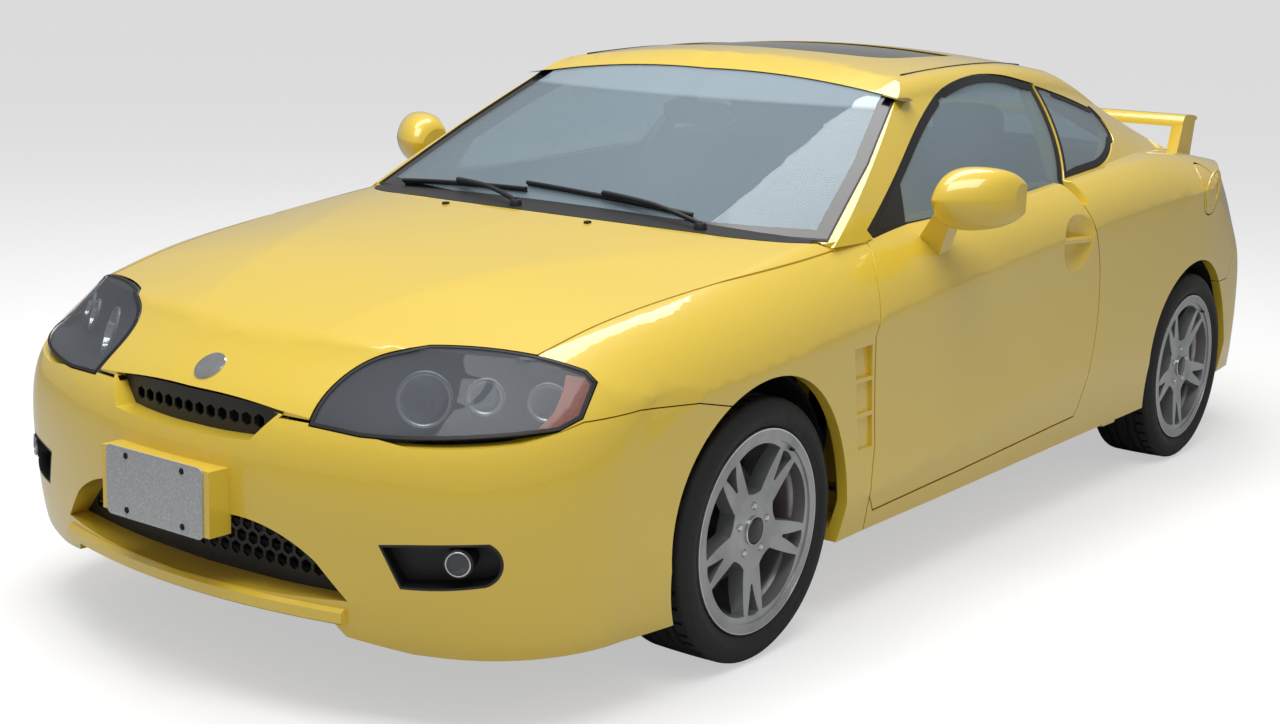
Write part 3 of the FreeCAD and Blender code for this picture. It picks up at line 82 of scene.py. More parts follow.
def place(x, y, z):
    """millimetres from the front axle to a point of the frame"""
    return Vector((FRONT_AXLE_X + x * MM, y * MM, z * MM))


def linear(code):
    """an sRGB colour such as ffcc00 as linear values"""
    parts = [int(code[i:i + 2], 16) / 255.0 for i in (0, 2, 4)]
    return tuple(p / 12.92 if p <= 0.04045 else ((p + 0.055) / 1.055) ** 2.4 for p in parts)


class Value:
    """A number socket on which arithmetic can be written."""

    def __init__(self, finish, socket):
        self.finish = finish
        self.socket = socket

    def maths(self, operation, *items):
        return self.finish.maths(operation, *items)

    def __add__(self, other):
        return self.maths("ADD", self, other)

    def __radd__(self, other):
        return self.maths("ADD", other, self)

    def __sub__(self, other):
        return self.maths("SUBTRACT", self, other)

    def __rsub__(self, other):
        return self.maths("SUBTRACT", other, self)

    def __mul__(self, other):
        return self.maths("MULTIPLY", self, other)

    def sine(self):
        return self.maths("SINE", self)


class Finish:
    """One material on a Principled shader."""

    def __init__(self, name):
        self.material = bpy.data.materials.new(name)
        self.material.use_nodes = True
        self.tree = self.material.node_tree
        self.tree.nodes.clear()
        self.shader = self.tree.nodes.new("ShaderNodeBsdfPrincipled")
        self.output = self.tree.nodes.new("ShaderNodeOutputMaterial")
        self.tree.links.new(self.shader.outputs[0], self.output.inputs["Surface"])

    def put(self, socket, item):
        if isinstance(item, Value):
            self.tree.links.new(item.socket, socket)
        elif isinstance(item, bpy.types.NodeSocket):
            self.tree.links.new(item, socket)
        elif isinstance(item, (tuple, list)) and len(item) == 3 and socket.type == "RGBA":
            socket.default_value = (*item, 1.0)
        else:
            socket.default_value = item

    def node(self, kind, settings=None, values=None):
        """a node whose settings are made before its sockets' values or links"""
        made = self.tree.nodes.new("ShaderNode" + kind)
        for key, item in (settings or {}).items():
            setattr(made, key, item)
        for key, item in (values or {}).items():
            self.put(made.inputs[key], item)
        return made

    def maths(self, operation, *items):
        made = self.node("Math", {"operation": operation})
        for socket, item in zip(made.inputs, items):
            self.put(socket, item)
        return Value(self, made.outputs[0])

    def coordinates(self):
        source = self.node("TexCoord").outputs["Object"]
        return self.node("Mapping", None, {"Vector": source}).outputs["Vector"]

    def axes(self):
        source = self.node("TexCoord").outputs["Object"]
        parts = self.node("SeparateXYZ", None, {"Vector": source})
        return [Value(self, out) for out in parts.outputs]

    def noise(self, scale, detail=2.0, rough=0.5):
        values = {"Vector": self.coordinates(), "Scale": scale, "Detail": detail, "Roughness": rough}
        return Value(self, self.node("TexNoise", None, values).outputs["Fac"])

    def spread(self, value, low, high):
        """the value's stretch from low to high drawn out over 0 to 1"""
        made = self.node("MapRange", {"interpolation_type": "SMOOTHSTEP"},
                         {"Value": value, "From Min": low, "From Max": high})
        return Value(self, made.outputs["Result"])

    def mixed(self, factor, first, second):
        made = self.node("Mix", {"data_type": "RGBA"})
        self.put(made.inputs["Factor"], factor)
        self.put(made.inputs[6], first)
        self.put(made.inputs[7], second)
        return made.outputs[2]

    def bump(self, height, distance, strength):
        values = {"Height": height, "Distance": distance, "Strength": strength}
        return self.node("Bump", None, values).outputs["Normal"]

    def set(self, **values):
        for key, item in values.items():
            self.put(self.shader.inputs[key.replace("_", " ")], item)
        return self.material


def paint_material(settings):
    """yellow clear-coated paint with fine metallic grain and a slight orange peel"""
    finish = Finish("paint")
    grain = finish.spread(finish.noise(2600.0, 1.0), 0.35, 0.65)
    shade = finish.noise(1.6, 2.0)
    deep = tuple(c * 0.93 for c in settings.paint_colour)
    base = finish.mixed(grain * 0.25 + shade * 0.35, tuple(settings.paint_colour), deep)
    peel = finish.bump(finish.noise(150.0, 1.0), 0.00002, 0.25)
    return finish.set(Base_Color=base, Metallic=0.0, Roughness=0.34 + grain * 0.05, Coat_Weight=1.0,
                      Coat_Roughness=0.03, Coat_IOR=1.55, Normal=peel)


def plastic_material(name, code, roughness, grain=900.0, depth=0.00006):
    """moulded plastic with a fine cast grain"""
    finish = Finish(name)
    base = linear(code)
    pale = tuple(min(1.0, c * 1.5 + 0.004) for c in base)
    speck = finish.noise(grain, 3.0)
    colour = finish.mixed(finish.spread(speck, 0.4, 0.8), base, pale)
    normal = finish.bump(speck, depth, 0.6)
    return finish.set(Base_Color=colour, Roughness=roughness + speck * 0.12, Normal=normal)


def glass_material(name, code, clear, painted_reflection_tone, shade_above=None):
    """thin tinted pane: part of the light passes, the rest is real reflection and the tone, a pale haze of
    painted reflection
    """
    finish = Finish(name)
    tint = finish.node("BsdfTransparent", None, {"Color": linear(code)})
    # the share that does not pass shows the tone as a painted reflection, uneven at random
    uneven_painted_reflection = finish.noise(3.0, 2.0) * 0.06
    passing = clear - uneven_painted_reflection
    if shade_above:
        height = finish.axes()[2]
        passing = passing - finish.spread(height, shade_above - 0.006, shade_above + 0.006) * (clear * 0.5)
    mix = finish.node("MixShader", None, {"Fac": passing})
    finish.tree.links.new(finish.shader.outputs[0], mix.inputs[1])
    finish.tree.links.new(tint.outputs[0], mix.inputs[2])
    finish.tree.links.new(mix.outputs[0], finish.output.inputs["Surface"])
    # the tone as base colour paints a reflection onto the pane
    return finish.set(Base_Color=linear(painted_reflection_tone), Roughness=0.0, IOR=1.5, Coat_Weight=0.6, Coat_Roughness=0.0)


def metal_material(name, code, metallic, roughness, streak=40.0):
    """metal with faint streaks and spots"""
    finish = Finish(name)
    base = linear(code)
    dark = tuple(c * 0.72 for c in base)
    cloud = finish.noise(streak, 4.0, 0.6)
    colour = finish.mixed(finish.spread(cloud, 0.35, 0.75), base, dark)
    normal = finish.bump(finish.noise(700.0, 2.0), 0.00005, 0.5)
    return finish.set(Base_Color=colour, Metallic=metallic, Roughness=roughness + cloud * 0.2, Normal=normal)


def rubber_material():
    """black tyre rubber, a little dusty"""
    finish = Finish("rubber")
    dust = finish.spread(finish.noise(30.0, 5.0, 0.65), 0.4, 0.8)
    colour = finish.mixed(dust, linear("151517"), linear("242426"))
    normal = finish.bump(finish.noise(1200.0, 2.0), 0.00005, 0.6)
    return finish.set(Base_Color=colour, Roughness=0.62 + dust * 0.2, Normal=normal)


def cloth_material():
    """woven seat cloth"""
    finish = Finish("cloth")
    x, y, z = finish.axes()
    weave = ((x + z) * 2600.0).sine() * ((y + z) * 2600.0).sine()
    height = weave * 0.5 + 0.5
    colour = finish.mixed(height, linear("1b1c1f"), linear("2d2f33"))
    normal = finish.bump(height, 0.0002, 0.8)
    return finish.set(Base_Color=colour, Roughness=0.86, Normal=normal, Sheen_Weight=0.25)


MATERIALS = {}
SHADE_STRIP_Z = 1.195


# Name, colour, roughness, grain, depth of the grain
PLASTICS = (
    ("black_plastic", "161617", 0.42),
    ("gloss_black", "0c0c0d", 0.10, 300.0, 0.00001),
    ("lamp_tub", "46484c", 0.35),
    ("seal_rubber", "141415", 0.5, 1500.0),
    ("trim", "222224", 0.62, 700.0, 0.00015),
    ("headliner", "8d8a84", 0.9, 1200.0, 0.0002),
    ("red_lens", "a30d12", 0.08, 200.0, 0.00001),
    ("amber_lens", "c65a1c", 0.12, 200.0, 0.00001),
    ("red_paint", "b01015", 0.3, 300.0, 0.00002),
    ("leather", "1a1a1c", 0.5, 420.0, 0.0004),
    ("plate", "a6a8aa", 0.4, 300.0, 0.00002),
)
# Name, tint, share of light that passes, haze colour of painted reflection, height where the shade band
# starts
GLASSES = (
    ("window_glass", "e2eaed", 0.68, "aabbc6", SHADE_STRIP_Z),
    ("side_glass", "d8e2e6", 0.66, "b2c3cd"),
    ("dark_glass", "2a2e30", 0.2, "1c1f20"),
    ("lamp_glass", "eceef0", 0.88, "a0a4ac"),
    ("clear_glass", "eef2f4", 0.8, "8a9096"),
)
# Name, colour, metallic, roughness, size of the streaks
METALS = (
    ("chrome", "d9dbdd", 1.0, 0.04, 6.0),
    ("mirror_face", "c4ccd2", 1.0, 0.0, 4.0),
    ("steel", "5a5c5f", 0.9, 0.42),
    ("dark_steel", "1f2022", 0.5, 0.6),
    ("cast_iron", "444547", 0.8, 0.6),
    ("aluminium", "9c9ea1", 0.9, 0.38),
    ("alloy", "b1b3b5", 0.7, 0.27, 8.0),
)


def make_materials(settings):
    MATERIALS.update(paint=paint_material(settings), rubber=rubber_material(), cloth=cloth_material())
    for maker, rows in ((plastic_material, PLASTICS), (glass_material, GLASSES), (metal_material, METALS)):
        for row in rows:
            MATERIALS[row[0]] = maker(*row)


def add_object(name, mesh, material, body):
    piece = bpy.data.objects.new(name, mesh)
    bpy.context.scene.collection.objects.link(piece)
    if material:
        mesh.materials.clear()
        mesh.materials.append(MATERIALS[material])
    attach(piece, body)
    return piece


def shade(mesh, angle):
    """smooth shading with creases over the angle in degrees"""
    shape = bmesh.new()
    shape.from_mesh(mesh)
    bmesh.ops.remove_doubles(shape, verts=shape.verts, dist=0.00002)
    limit = math.radians(angle)
    for face in shape.faces:
        face.smooth = True
    for edge in shape.edges:
        edge.smooth = not edge.is_manifold or edge.calc_face_angle(0.0) < limit
    shape.to_mesh(mesh)
    shape.free()


def dress(node, material, angle=28.0, inner=None, inside=None):
    """a smooth-shaded copy that stands for a CAD node; inside(x, y, z, normal) picks trimmed faces"""
    mesh = NODES[node].data.copy()
    mesh.name = node + "_skin"
    shade(mesh, angle)
    piece = add_object(node + "_skin", mesh, material, BODY_OF[node])
    if inner:
        mesh.materials.append(MATERIALS[inner])
        for face in mesh.polygons:
            x, y, z = face.center
            if inside((x - FRONT_AXLE_X) / MM, y / MM, z / MM, face.normal):
                face.material_index = 1
    smooth = piece.modifiers.new("even_normals", "WEIGHTED_NORMAL")
    smooth.keep_sharp = True
    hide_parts(node)
    return piece


def finished(name, shape, material, body, angle=30.0):
    """a closed bmesh made into a piece"""
    bmesh.ops.remove_doubles(shape, verts=shape.verts, dist=0.000005)
    bmesh.ops.recalc_face_normals(shape, faces=shape.faces)
    mesh = bpy.data.meshes.new(name)
    shape.to_mesh(mesh)
    shape.free()
    shade(mesh, angle)
    return add_object(name, mesh, material, body)


def add_lathe(shape, profile, centre, axis, steps=48):
    """a profile of (radius, height) pairs in millimetres turned about an axis"""
    along = Vector(axis).normalized()
    across = along.orthogonal().normalized()
    verts = [shape.verts.new(centre + across * (r * MM) + along * (h * MM)) for r, h in profile]
    edges = [shape.edges.new(pair) for pair in zip(verts, verts[1:])]
    bmesh.ops.spin(shape, geom=verts + edges, cent=centre, axis=along, dvec=(0.0, 0.0, 0.0), angle=math.tau,
                   steps=steps, use_merge=True, use_normal_flip=False, use_duplicate=False)


def turned(name, profile, centre, axis, material, body, steps=48, angle=30.0):
    """a piece made of one turned profile"""
    shape = bmesh.new()
    add_lathe(shape, profile, centre, axis, steps)
    finished(name, shape, material, body, angle)


def add_rod(shape, start, end, radius, tip=None, sides=20):
    """round or tapered rod between two places, its radii in millimetres"""
    span = end - start
    turn = span.to_track_quat("Z", "Y").to_matrix().to_4x4()
    bmesh.ops.create_cone(shape, cap_ends=True, cap_tris=False, segments=sides, radius1=radius * MM,
                          radius2=(radius if tip is None else tip) * MM, depth=span.length,
                          matrix=Matrix.Translation((start + end) / 2.0) @ turn)


def add_block(shape, low, high, bevel):
    """box between two corners given in millimetres, its edges rounded"""
    a = place(*low)
    b = place(*high)
    size = [abs(v) for v in b - a]
    matrix = Matrix.Translation((a + b) / 2.0) @ Matrix.Diagonal((*size, 1.0))
    made = bmesh.ops.create_cube(shape, size=1.0, matrix=matrix)
    edges = list({edge for vert in made["verts"] for edge in vert.link_edges})
    bmesh.ops.bevel(shape, geom=edges, offset=bevel * MM, offset_type="OFFSET", affect="EDGES", segments=2,
                    profile=0.5, material=-1)


def piped(name, points, radius, material, body):
    """round strip along a smooth line of places"""
    curve = bpy.data.curves.new(name, "CURVE")
    curve.dimensions = "3D"
    curve.bevel_depth = radius * MM
    curve.bevel_resolution = 2
    curve.resolution_u = 4
    curve.use_fill_caps = True
    spline = curve.splines.new("NURBS")
    spline.points.add(len(points) - 1)
    for spot, point in zip(spline.points, points):
        spot.co = (*point, 1.0)
    spline.use_endpoint_u = True
    spline.order_u = 3
    holder = bpy.data.objects.new(name, curve)
    mesh = bpy.data.meshes.new_from_object(holder)
    bpy.data.objects.remove(holder)
    mesh.name = name
    shade(mesh, 50.0)
    return add_object(name, mesh, material, body)


SURFACES = {}


def surface(node):
    if node not in SURFACES:
        mesh = NODES[node].data
        faces = [tuple(face.vertices) for face in mesh.polygons]
        SURFACES[node] = BVHTree.FromPolygons([vert.co.copy() for vert in mesh.vertices], faces)
    return SURFACES[node]


def cast(nodes, start, direction):
    """place and normal where a ray first meets one of the nodes"""
    best = None
    for node in nodes:
        spot, normal, index, distance = surface(node).ray_cast(start, direction)
        if spot is not None and (best is None or distance < best[2]):
            best = (spot, normal, distance)
    if best is None:
        raise ValueError("no surface of %s from %s" % (nodes, tuple(start)))
    return best


def thicken(shape, thickness):
    """closed wall from the open sheet that the bmesh holds, pushed back by thickness in mm"""
    shape.normal_update()
    normals = {tuple(round(c, 6) for c in vert.co): vert.normal.copy() for vert in shape.verts}
    made = bmesh.ops.extrude_face_region(shape, geom=shape.faces[:], use_keep_orig=True)
    for vert in [item for item in made["geom"] if isinstance(item, bmesh.types.BMVert)]:
        vert.co -= normals[tuple(round(c, 6) for c in vert.co)] * (thickness * MM)


def add_patch(shape, corners, direction, nodes, lift, thickness, cuts=4):
    """sheet with the given corners laid along a direction onto the nodes, lift and thickness in mm"""
    known = set(shape.verts)
    direction = Vector(direction).normalized()
    face = shape.faces.new([shape.verts.new(corner) for corner in corners])
    faces = bmesh.ops.triangulate(shape, faces=[face])["faces"]
    edges = list({edge for item in faces for edge in item.edges})
    bmesh.ops.subdivide_edges(shape, edges=edges, cuts=cuts, use_grid_fill=True)
    verts = [vert for vert in shape.verts if vert not in known]
    for vert in verts:
        spot, normal, distance = cast(nodes, vert.co - direction * 0.5, direction)
        vert.co = spot - direction * (lift * MM)
    faces = list({face for vert in verts for face in vert.link_faces})
    shape.normal_update()
    if sum((item.normal for item in faces), Vector()).dot(direction) > 0.0:
        bmesh.ops.reverse_faces(shape, faces=faces)
    bmesh.ops.solidify(shape, geom=faces, thickness=thickness * MM)


def outer_face(node, side, limit=35.0):
    """bmesh of a thin node's outer face, on one side of the car or whole"""
    shape = bmesh.new()
    shape.from_mesh(NODES[node].data)
    bmesh.ops.remove_doubles(shape, verts=shape.verts, dist=0.00002)
    shape.normal_update()
    inside = place(1300.0, 0.0, 600.0)

    def score(face):
        middle = face.calc_center_median()
        if side and middle.y * side < 0.0:
            return 0.0
        return face.calc_area() * max(0.0, face.normal.dot((middle - inside).normalized()))

    found = {max(shape.faces, key=score)}
    front = list(found)
    while front:
        face = front.pop()
        for edge in face.edges:
            for other in edge.link_faces:
                if other not in found and face.normal.angle(other.normal, 0.0) < math.radians(limit):
                    found.add(other)
                    front.append(other)
    bmesh.ops.delete(shape, geom=[face for face in shape.faces if face not in found], context="FACES")
    return shape


def band(name, node, width, material, side=0, lift=0.4, thickness=1.6, skip=None):
    """flat border round the outer face of a pane; width, lift and thickness in mm"""
    shape = outer_face(node, side)
    bmesh.ops.dissolve_degenerate(shape, dist=0.0008, edges=shape.edges)
    made = bmesh.ops.inset_region(shape, faces=shape.faces[:], use_boundary=True, use_even_offset=True,
                                  thickness=width * MM)
    ring = set(made["faces"])
    outer = {vert for edge in shape.edges if edge.is_boundary for vert in edge.verts}
    reach = 1.6 * width * MM
    for edge in {edge for face in ring for edge in face.edges}:
        if (edge.verts[0] in outer) != (edge.verts[1] in outer):
            fixed, moved = edge.verts if edge.verts[0] in outer else reversed(edge.verts)
            span = moved.co - fixed.co
            if span.length > reach:
                moved.co = fixed.co + span.normalized() * reach
    away = [face for face in shape.faces if face not in ring or (skip and skip(face.calc_center_median()))]
    bmesh.ops.delete(shape, geom=away, context="FACES")
    shape.normal_update()
    shifts = [(vert, vert.normal.copy()) for vert in shape.verts]
    for vert, normal in shifts:
        vert.co += normal * ((lift + thickness) * MM)
    thicken(shape, thickness)
    return finished(name, shape, material, BODY_OF[node])


def add_pad(shape, size, matrix, crown=0.0, grooves=(), power=5.0, cuts=20):
    """stuffed pad: a rounded block with a crowned top and sewn grooves; sizes in mm

    grooves lists (axis, place from -1 to 1) on the top face.
    """
    known = set(shape.verts)
    bmesh.ops.create_cube(shape, size=2.0)
    fresh = [vert for vert in shape.verts if vert not in known]
    edges = list({edge for vert in fresh for edge in vert.link_edges})
    bmesh.ops.subdivide_edges(shape, edges=edges, cuts=cuts, use_grid_fill=True)
    half = [s * MM / 2.0 for s in size]
    for vert in [vert for vert in shape.verts if vert not in known]:
        u, v, w = vert.co
        reach = max(abs(u), abs(v), abs(w))
        norm = (abs(u) ** power + abs(v) ** power + abs(w) ** power) ** (1.0 / power)
        spot = [c * reach / norm for c in (u, v, w)]
        swell = crown * MM * (1.0 - u * u) * (1.0 - v * v) * w
        dip = 0.0
        if w > 0.9:
            for axis, at in grooves:
                dip += 0.007 * math.exp(-(((u, v)[axis] - at) / 0.045) ** 2)
        vert.co = matrix @ Vector((spot[0] * half[0], spot[1] * half[1], spot[2] * half[2] + swell - dip))


SIDES = (-1, 1)
SIDE_NAMES = {-1: "left", 1: "right"}
DOWN = Vector((0.0, 0.0, -1.0))
BACK = Vector((1.0, 0.0, 0.0))

PANELS = ("front_bumper", "rear_bumper", "hood", "fender_left", "fender_right", "spoiler", "fuel_lid",
          "mirror_left", "mirror_right")
# Node, material, record slot
PANES = (("windscreen", "window_glass", "glass"), ("door_glass_left", "side_glass", "glass"),
         ("door_glass_right", "side_glass", "glass"), ("quarter_glasses", "side_glass", "glass"),
         ("hatch_glass", "side_glass", "glass"), ("sunroof_glass", "dark_glass", "dark_glass"),
         ("headlamp_lenses", "lamp_glass", "lamp_glass"))
GEAR = (("cowl", "black_plastic", "black_plastic"), ("headlamps", "lamp_tub", "black_plastic"),
        ("fog_lamps", "black_plastic", "black_plastic"), ("tail_lamps", "red_lens", "red_lens"),
        ("grilles", "black_plastic", "black_plastic"), ("bulkhead", "dark_steel", "steel"),
        ("boot_floor", "dark_steel", "steel"), ("floor_pan", "trim", "steel"),
        ("front_structure", "dark_steel", "steel"),
        ("engine_block", "cast_iron", "cast_iron"), ("radiator", "aluminium", "aluminium"),
        ("front_suspension", "dark_steel", "steel"), ("rear_suspension", "dark_steel", "steel"),
        ("exhaust", "steel", "steel"), ("knuckle_left", "cast_iron", "cast_iron"),
        ("knuckle_right", "cast_iron", "cast_iron"), ("caliper_front_left", "red_paint", "red_paint"),
        ("caliper_front_right", "red_paint", "red_paint"), ("rear_calipers", "red_paint", "red_paint"))

# Pane, border width in mm, side of the car
BORDERS = (("windscreen", 9.0, 0), ("door_glass_left", 24.0, -1), ("door_glass_right", 24.0, 1),
           ("quarter_glasses", 22.0, -1), ("quarter_glasses", 22.0, 1), ("hatch_glass", 30.0, 0),
           ("sunroof_glass", 8.0, 0), ("headlamp_lenses", 7.0, -1), ("headlamp_lenses", 7.0, 1))

# Headlamp insides: middle on the cover (x, |y|, z), radius, depth
HEADLAMP_INWARD = (0.80, 0.50, -0.33)
REFLECTORS = ((-759.0, 522.0, 686.0, 50.0, 52.0), (-697.0, 634.0, 697.0, 30.0, 34.0),
              (-626.0, 737.0, 690.0, 32.0, 34.0))
AMBER_STRIP = ((-560, 733, 734), (-537, 764, 728), (-533, 774, 716), (-582, 785, 662), (-628, 774, 645),
               (-662, 748, 642), (-618, 752, 668), (-586, 746, 704))
# Shroud behind the lower grille: wall, and front and heights of its slats
SHROUD_WALL = ((-808, -425, 264), (-805, 425, 406))
SHROUD_SLAT_FRONT = -822
SHROUD_SLATS = (290.0, 320.0, 350.0, 380.0)
FOG_LAMP = (-807.0, 673.0, 384.0)
FOG_INWARD = (0.86, 0.51, 0.0)
# Rear lamp rounds: |y|, z, radius, lens material
TAIL_ROUNDS = ((478.0, 820.0, 27.0, "clear_glass"), (552.0, 822.0, 33.0, "red_lens"),
               (632.0, 824.0, 33.0, "red_lens"), (696.0, 824.0, 20.0, "amber_lens"))
# Wipers: pivot x and y, blade's ends y and z
WIPERS = ((264.0, -470.0, -405.0, 940.0, 130.0, 972.0), (190.0, 50.0, 110.0, 948.0, 610.0, 946.0))
# Places of small trim: washer nozzle (x, |y|), nose disc x, fuel lid (x, z), tail pipe's end
WASHER = (128.0, 232.0)
NOSE_DISC_X = -848.0
FUEL_LID = (2563.0, 888.0)
PLATE_BOLTS = ((-89.0, 382.0), (-89.0, 500.0), (89.0, 382.0), (89.0, 500.0))
TAIL_PIPE = (3262.0, -430.0, 284.0)
# Corner patch at the door glass's front (x, z)
SAIL = ((786.0, 1042.0), (744.0, 930.0), (592.0, 922.0))
# Ditch line along the roof (x, |y|)
ROOF_SEAM = ((1078.0, 536.0), (1280.0, 534.0), (1500.0, 529.0), (1700.0, 513.0), (1872.0, 493.0))
# Mirror glass (|y|, z), and the slanted plane it lies in: x at a y, and its slope
MIRROR_GLASS = ((868, 962), (880, 954), (940, 949), (1000, 961), (1018, 978), (1018, 1034), (1000, 1052),
                (940, 1059), (880, 1046), (868, 1034))
MIRROR_PLANE_X = 792.0
MIRROR_PLANE_Y = 856.0
MIRROR_SLOPE = 0.362
WHEEL_HUB = 750.0
WHEEL_Z = 306.0
WHEELBASE = 2530.0
# Right half of the tyre's section: radius, distance outboard, from bead to tread middle
TYRE_HALF = ((226, 89.7), (236.3, 89.7), (240.3, 95), (249, 100.5), (253, 102), (254, 103.6),
             (258, 104.2), (259.5, 105.4), (268, 107), (280, 103.6), (284, 102.4), (285, 103.2),
             (288, 101.8), (294, 96.5), (300, 92), (303.2, 87), (304.8, 80), (305.4, 55), (298.5, 54),
             (298.5, 46), (305.7, 45), (306, 27), (299, 26), (299, 18), (306, 17))
TYRE_INNER = ((226, 75.7), (262, 93), (284, 82))
TREAD_STEPS = 180
CUT_DEPTH = 0.006

STEERING_WHEEL = (905.0, -370.0, 815.0)
STEERING_TILT = 66.0
# Dials (y) and round vents (y) of the dashboard
DIALS = (-430.0, -325.0)
VENTS = (-575.0, -150.0, 150.0, 575.0)

FLOOR_LEVEL = 0.55
FLOOR_LIFT = 0.50
WORLD_LEVEL = 0.38
# Lamps: name, place, aim, width, depth, share of the key light's power
LAMPS = (("key_light", (-3.0, -1.4, 6.0), (0.0, 0.0, 0.5), 5.0, 3.0, 1.0),
         ("roof_light", (0.5, 1.0, 6.0), (0.2, 0.0, 0.5), 6.0, 2.0, 0.8))


class CarSettings(bpy.types.PropertyGroup):
    """Colour of the car's paint"""
    paint_colour: FloatVectorProperty(name="Paint", description="Colour of the body paint", subtype="COLOR",
                                      size=3, min=0.0, max=1.0, default=linear("e7c63c"))


class StageSettings(bpy.types.PropertyGroup):
    """Floor and light"""
    floor_size: FloatProperty(name="Floor", description="Width of the floor", default=60.0, unit="LENGTH")
    key_power: FloatProperty(name="Key light", description="Power of the main soft light", default=240.0,
                             unit="POWER")


def is_cabin_side(x, y, z, normal):
    """faces of a door, side or hatch that look into the cabin"""
    inwards = -normal.y * (1.0 if y > 0.0 else -1.0)
    return abs(y) < 716.0 and z > 240.0 and (inwards > 0.35 or (normal.z < -0.3 and z > 1000.0))


def is_ceiling(x, y, z, normal):
    return normal.z < -0.2


class CAR_OT_panels(bpy.types.Operator):
    """Painted body panels"""
    bl_idname = "coupe.panels"
    bl_label = "Body panels"

    def execute(self, context):
        for node in PANELS:
            dress(node, "paint")
        for name in SIDE_NAMES.values():
            dress("door_" + name, "paint", inner="trim", inside=is_cabin_side)
            dress("side_" + name, "paint", inner="trim", inside=is_cabin_side)
        dress("roof_panel", "paint", inner="headliner", inside=is_ceiling)
        dress("hatch", "paint", inner="trim", inside=is_ceiling)
        for side in SIDES:
            points = []
            for x, y in ROOF_SEAM:
                spot = cast(("roof_panel", "side_left", "side_right"), place(x, side * y, 1600.0), DOWN)[0]
                points.append(spot + Vector((0.0, 0.0, 0.0005)))
            piped("roof_seam_" + SIDE_NAMES[side], points, 3.2, "seal_rubber", "body")
        return {"FINISHED"}


def glass_of(side):
    return "door_glass_" + SIDE_NAMES[side]


def add_belt_seal(side):
    """rubber strip where the door glass enters the door"""
    node = "door_" + SIDE_NAMES[side]
    points = []
    for step in range(12):
        x = 604.0 + 96.6 * step
        across = Vector((0.0, -float(side), 0.0))
        glass_y = cast((glass_of(side),), place(x, side * 1000.0, 940.0 + 5.0 * step), across)[0].y
        top = cast((node,), Vector((place(x, 0, 0).x, glass_y + side * 0.007, 1.2)), DOWN)[0].z
        points.append(Vector((place(x, 0, 0).x, glass_y + side * 0.005, top + 0.002)))
    piped("belt_seal_" + SIDE_NAMES[side], points, 5.0, "seal_rubber", BODY_OF[node])


class CAR_OT_panes(bpy.types.Operator):
    """Windows, lamp covers and their black borders"""
    bl_idname = "coupe.panes"
    bl_label = "Glass"

    def execute(self, context):
        for node, material, slot in PANES:
            dress(node, material)
        for node, width, side in BORDERS:
            name = node + "_border" + ("_" + SIDE_NAMES[side] if side else "")
            band(name, node, width, "seal_rubber", side)
        band("windscreen_edge", "windscreen", 44.0, "gloss_black", lift=0.1, thickness=0.3,
             skip=lambda middle: middle.z > 1.228 and abs(middle.y) < 0.56)
        for side in SIDES:
            add_belt_seal(side)
            shape = bmesh.new()
            corners = [place(x, side * 1000.0, z) for x, z in SAIL]
            glass = glass_of(side)
            add_patch(shape, corners, (0.0, -side, 0.0), (glass,), 3.0, 2.0)
            finished("sail_" + SIDE_NAMES[side], shape, "black_plastic", BODY_OF[glass])
        return {"FINISHED"}


class CAR_OT_gear(bpy.types.Operator):
    """Running gear and under-body pieces"""
    bl_idname = "coupe.gear"
    bl_label = "Running gear"

    def execute(self, context):
        for node, material, slot in GEAR:
            dress(node, material)
        profile = ((34.4, 60), (34.4, 138), (36, 141), (39, 141), (40.5, 138), (40.5, 60), (34.4, 60))
        turned("tail_pipe_tip", profile, place(*TAIL_PIPE), BACK, "chrome", "body")
        return {"FINISHED"}


def rim_offset(nodes, spot, inward, radius):
    """how far inwards from a spot a circle lies wholly under the surface, in mm"""
    across = inward.orthogonal().normalized()
    deepest = 0.0
    for step in range(16):
        turn = Matrix.Rotation(math.tau * step / 16, 3, inward)
        start = spot + (turn @ across) * (radius * MM) - inward * 0.3
        try:
            deepest = max(deepest, cast(nodes, start, inward)[2] - 0.3)
        except ValueError:
            continue
    return deepest / MM


def add_reflector(name, side, x, y, z, radius, depth):
    """bright bowl with its bulb behind the headlamp cover"""
    inward = Vector((HEADLAMP_INWARD[0], -side * HEADLAMP_INWARD[1], HEADLAMP_INWARD[2])).normalized()
    spot = place(x, side * y, z)
    sunk = rim_offset(("headlamp_lenses",), spot, inward, radius + 3.0) + 9.0
    centre = spot + inward * (sunk * MM)
    wall = [(radius * f, -depth * (1.0 - f * f)) for f in (1.0, 0.93, 0.84, 0.72, 0.58, 0.42, 0.26)]
    outer = [(r + 2.0, h - 2.5) for r, h in reversed(wall)]
    bowl = ([(radius + 3.0, 1.0)] + wall + [(9.0, -depth), (9.0, -depth - 3.0)] + outer
            + [(radius + 3.0, -2.0), (radius + 3.0, 1.0)])
    turned(name, bowl, centre, -inward, "chrome", "body", angle=40.0)
    bulb = ((0, -depth - 2), (8.5, -depth - 2), (8.5, -depth + 8), (6.5, -depth + 10), (6.5, -depth + 24),
            (5.0, -depth + 29), (0, -depth + 31))
    turned(name + "_bulb", bulb, centre, -inward, "clear_glass", "body", 20, 40.0)
    ring = ((radius + 2.5, 0.5), (radius + 7.0, 1.5), (radius + 10.0, -1.0), (radius + 10.0, -6.0),
            (radius + 2.5, -6.0), (radius + 2.5, 0.5))
    turned(name + "_ring", ring, centre, -inward, "aluminium", "body", angle=40.0)


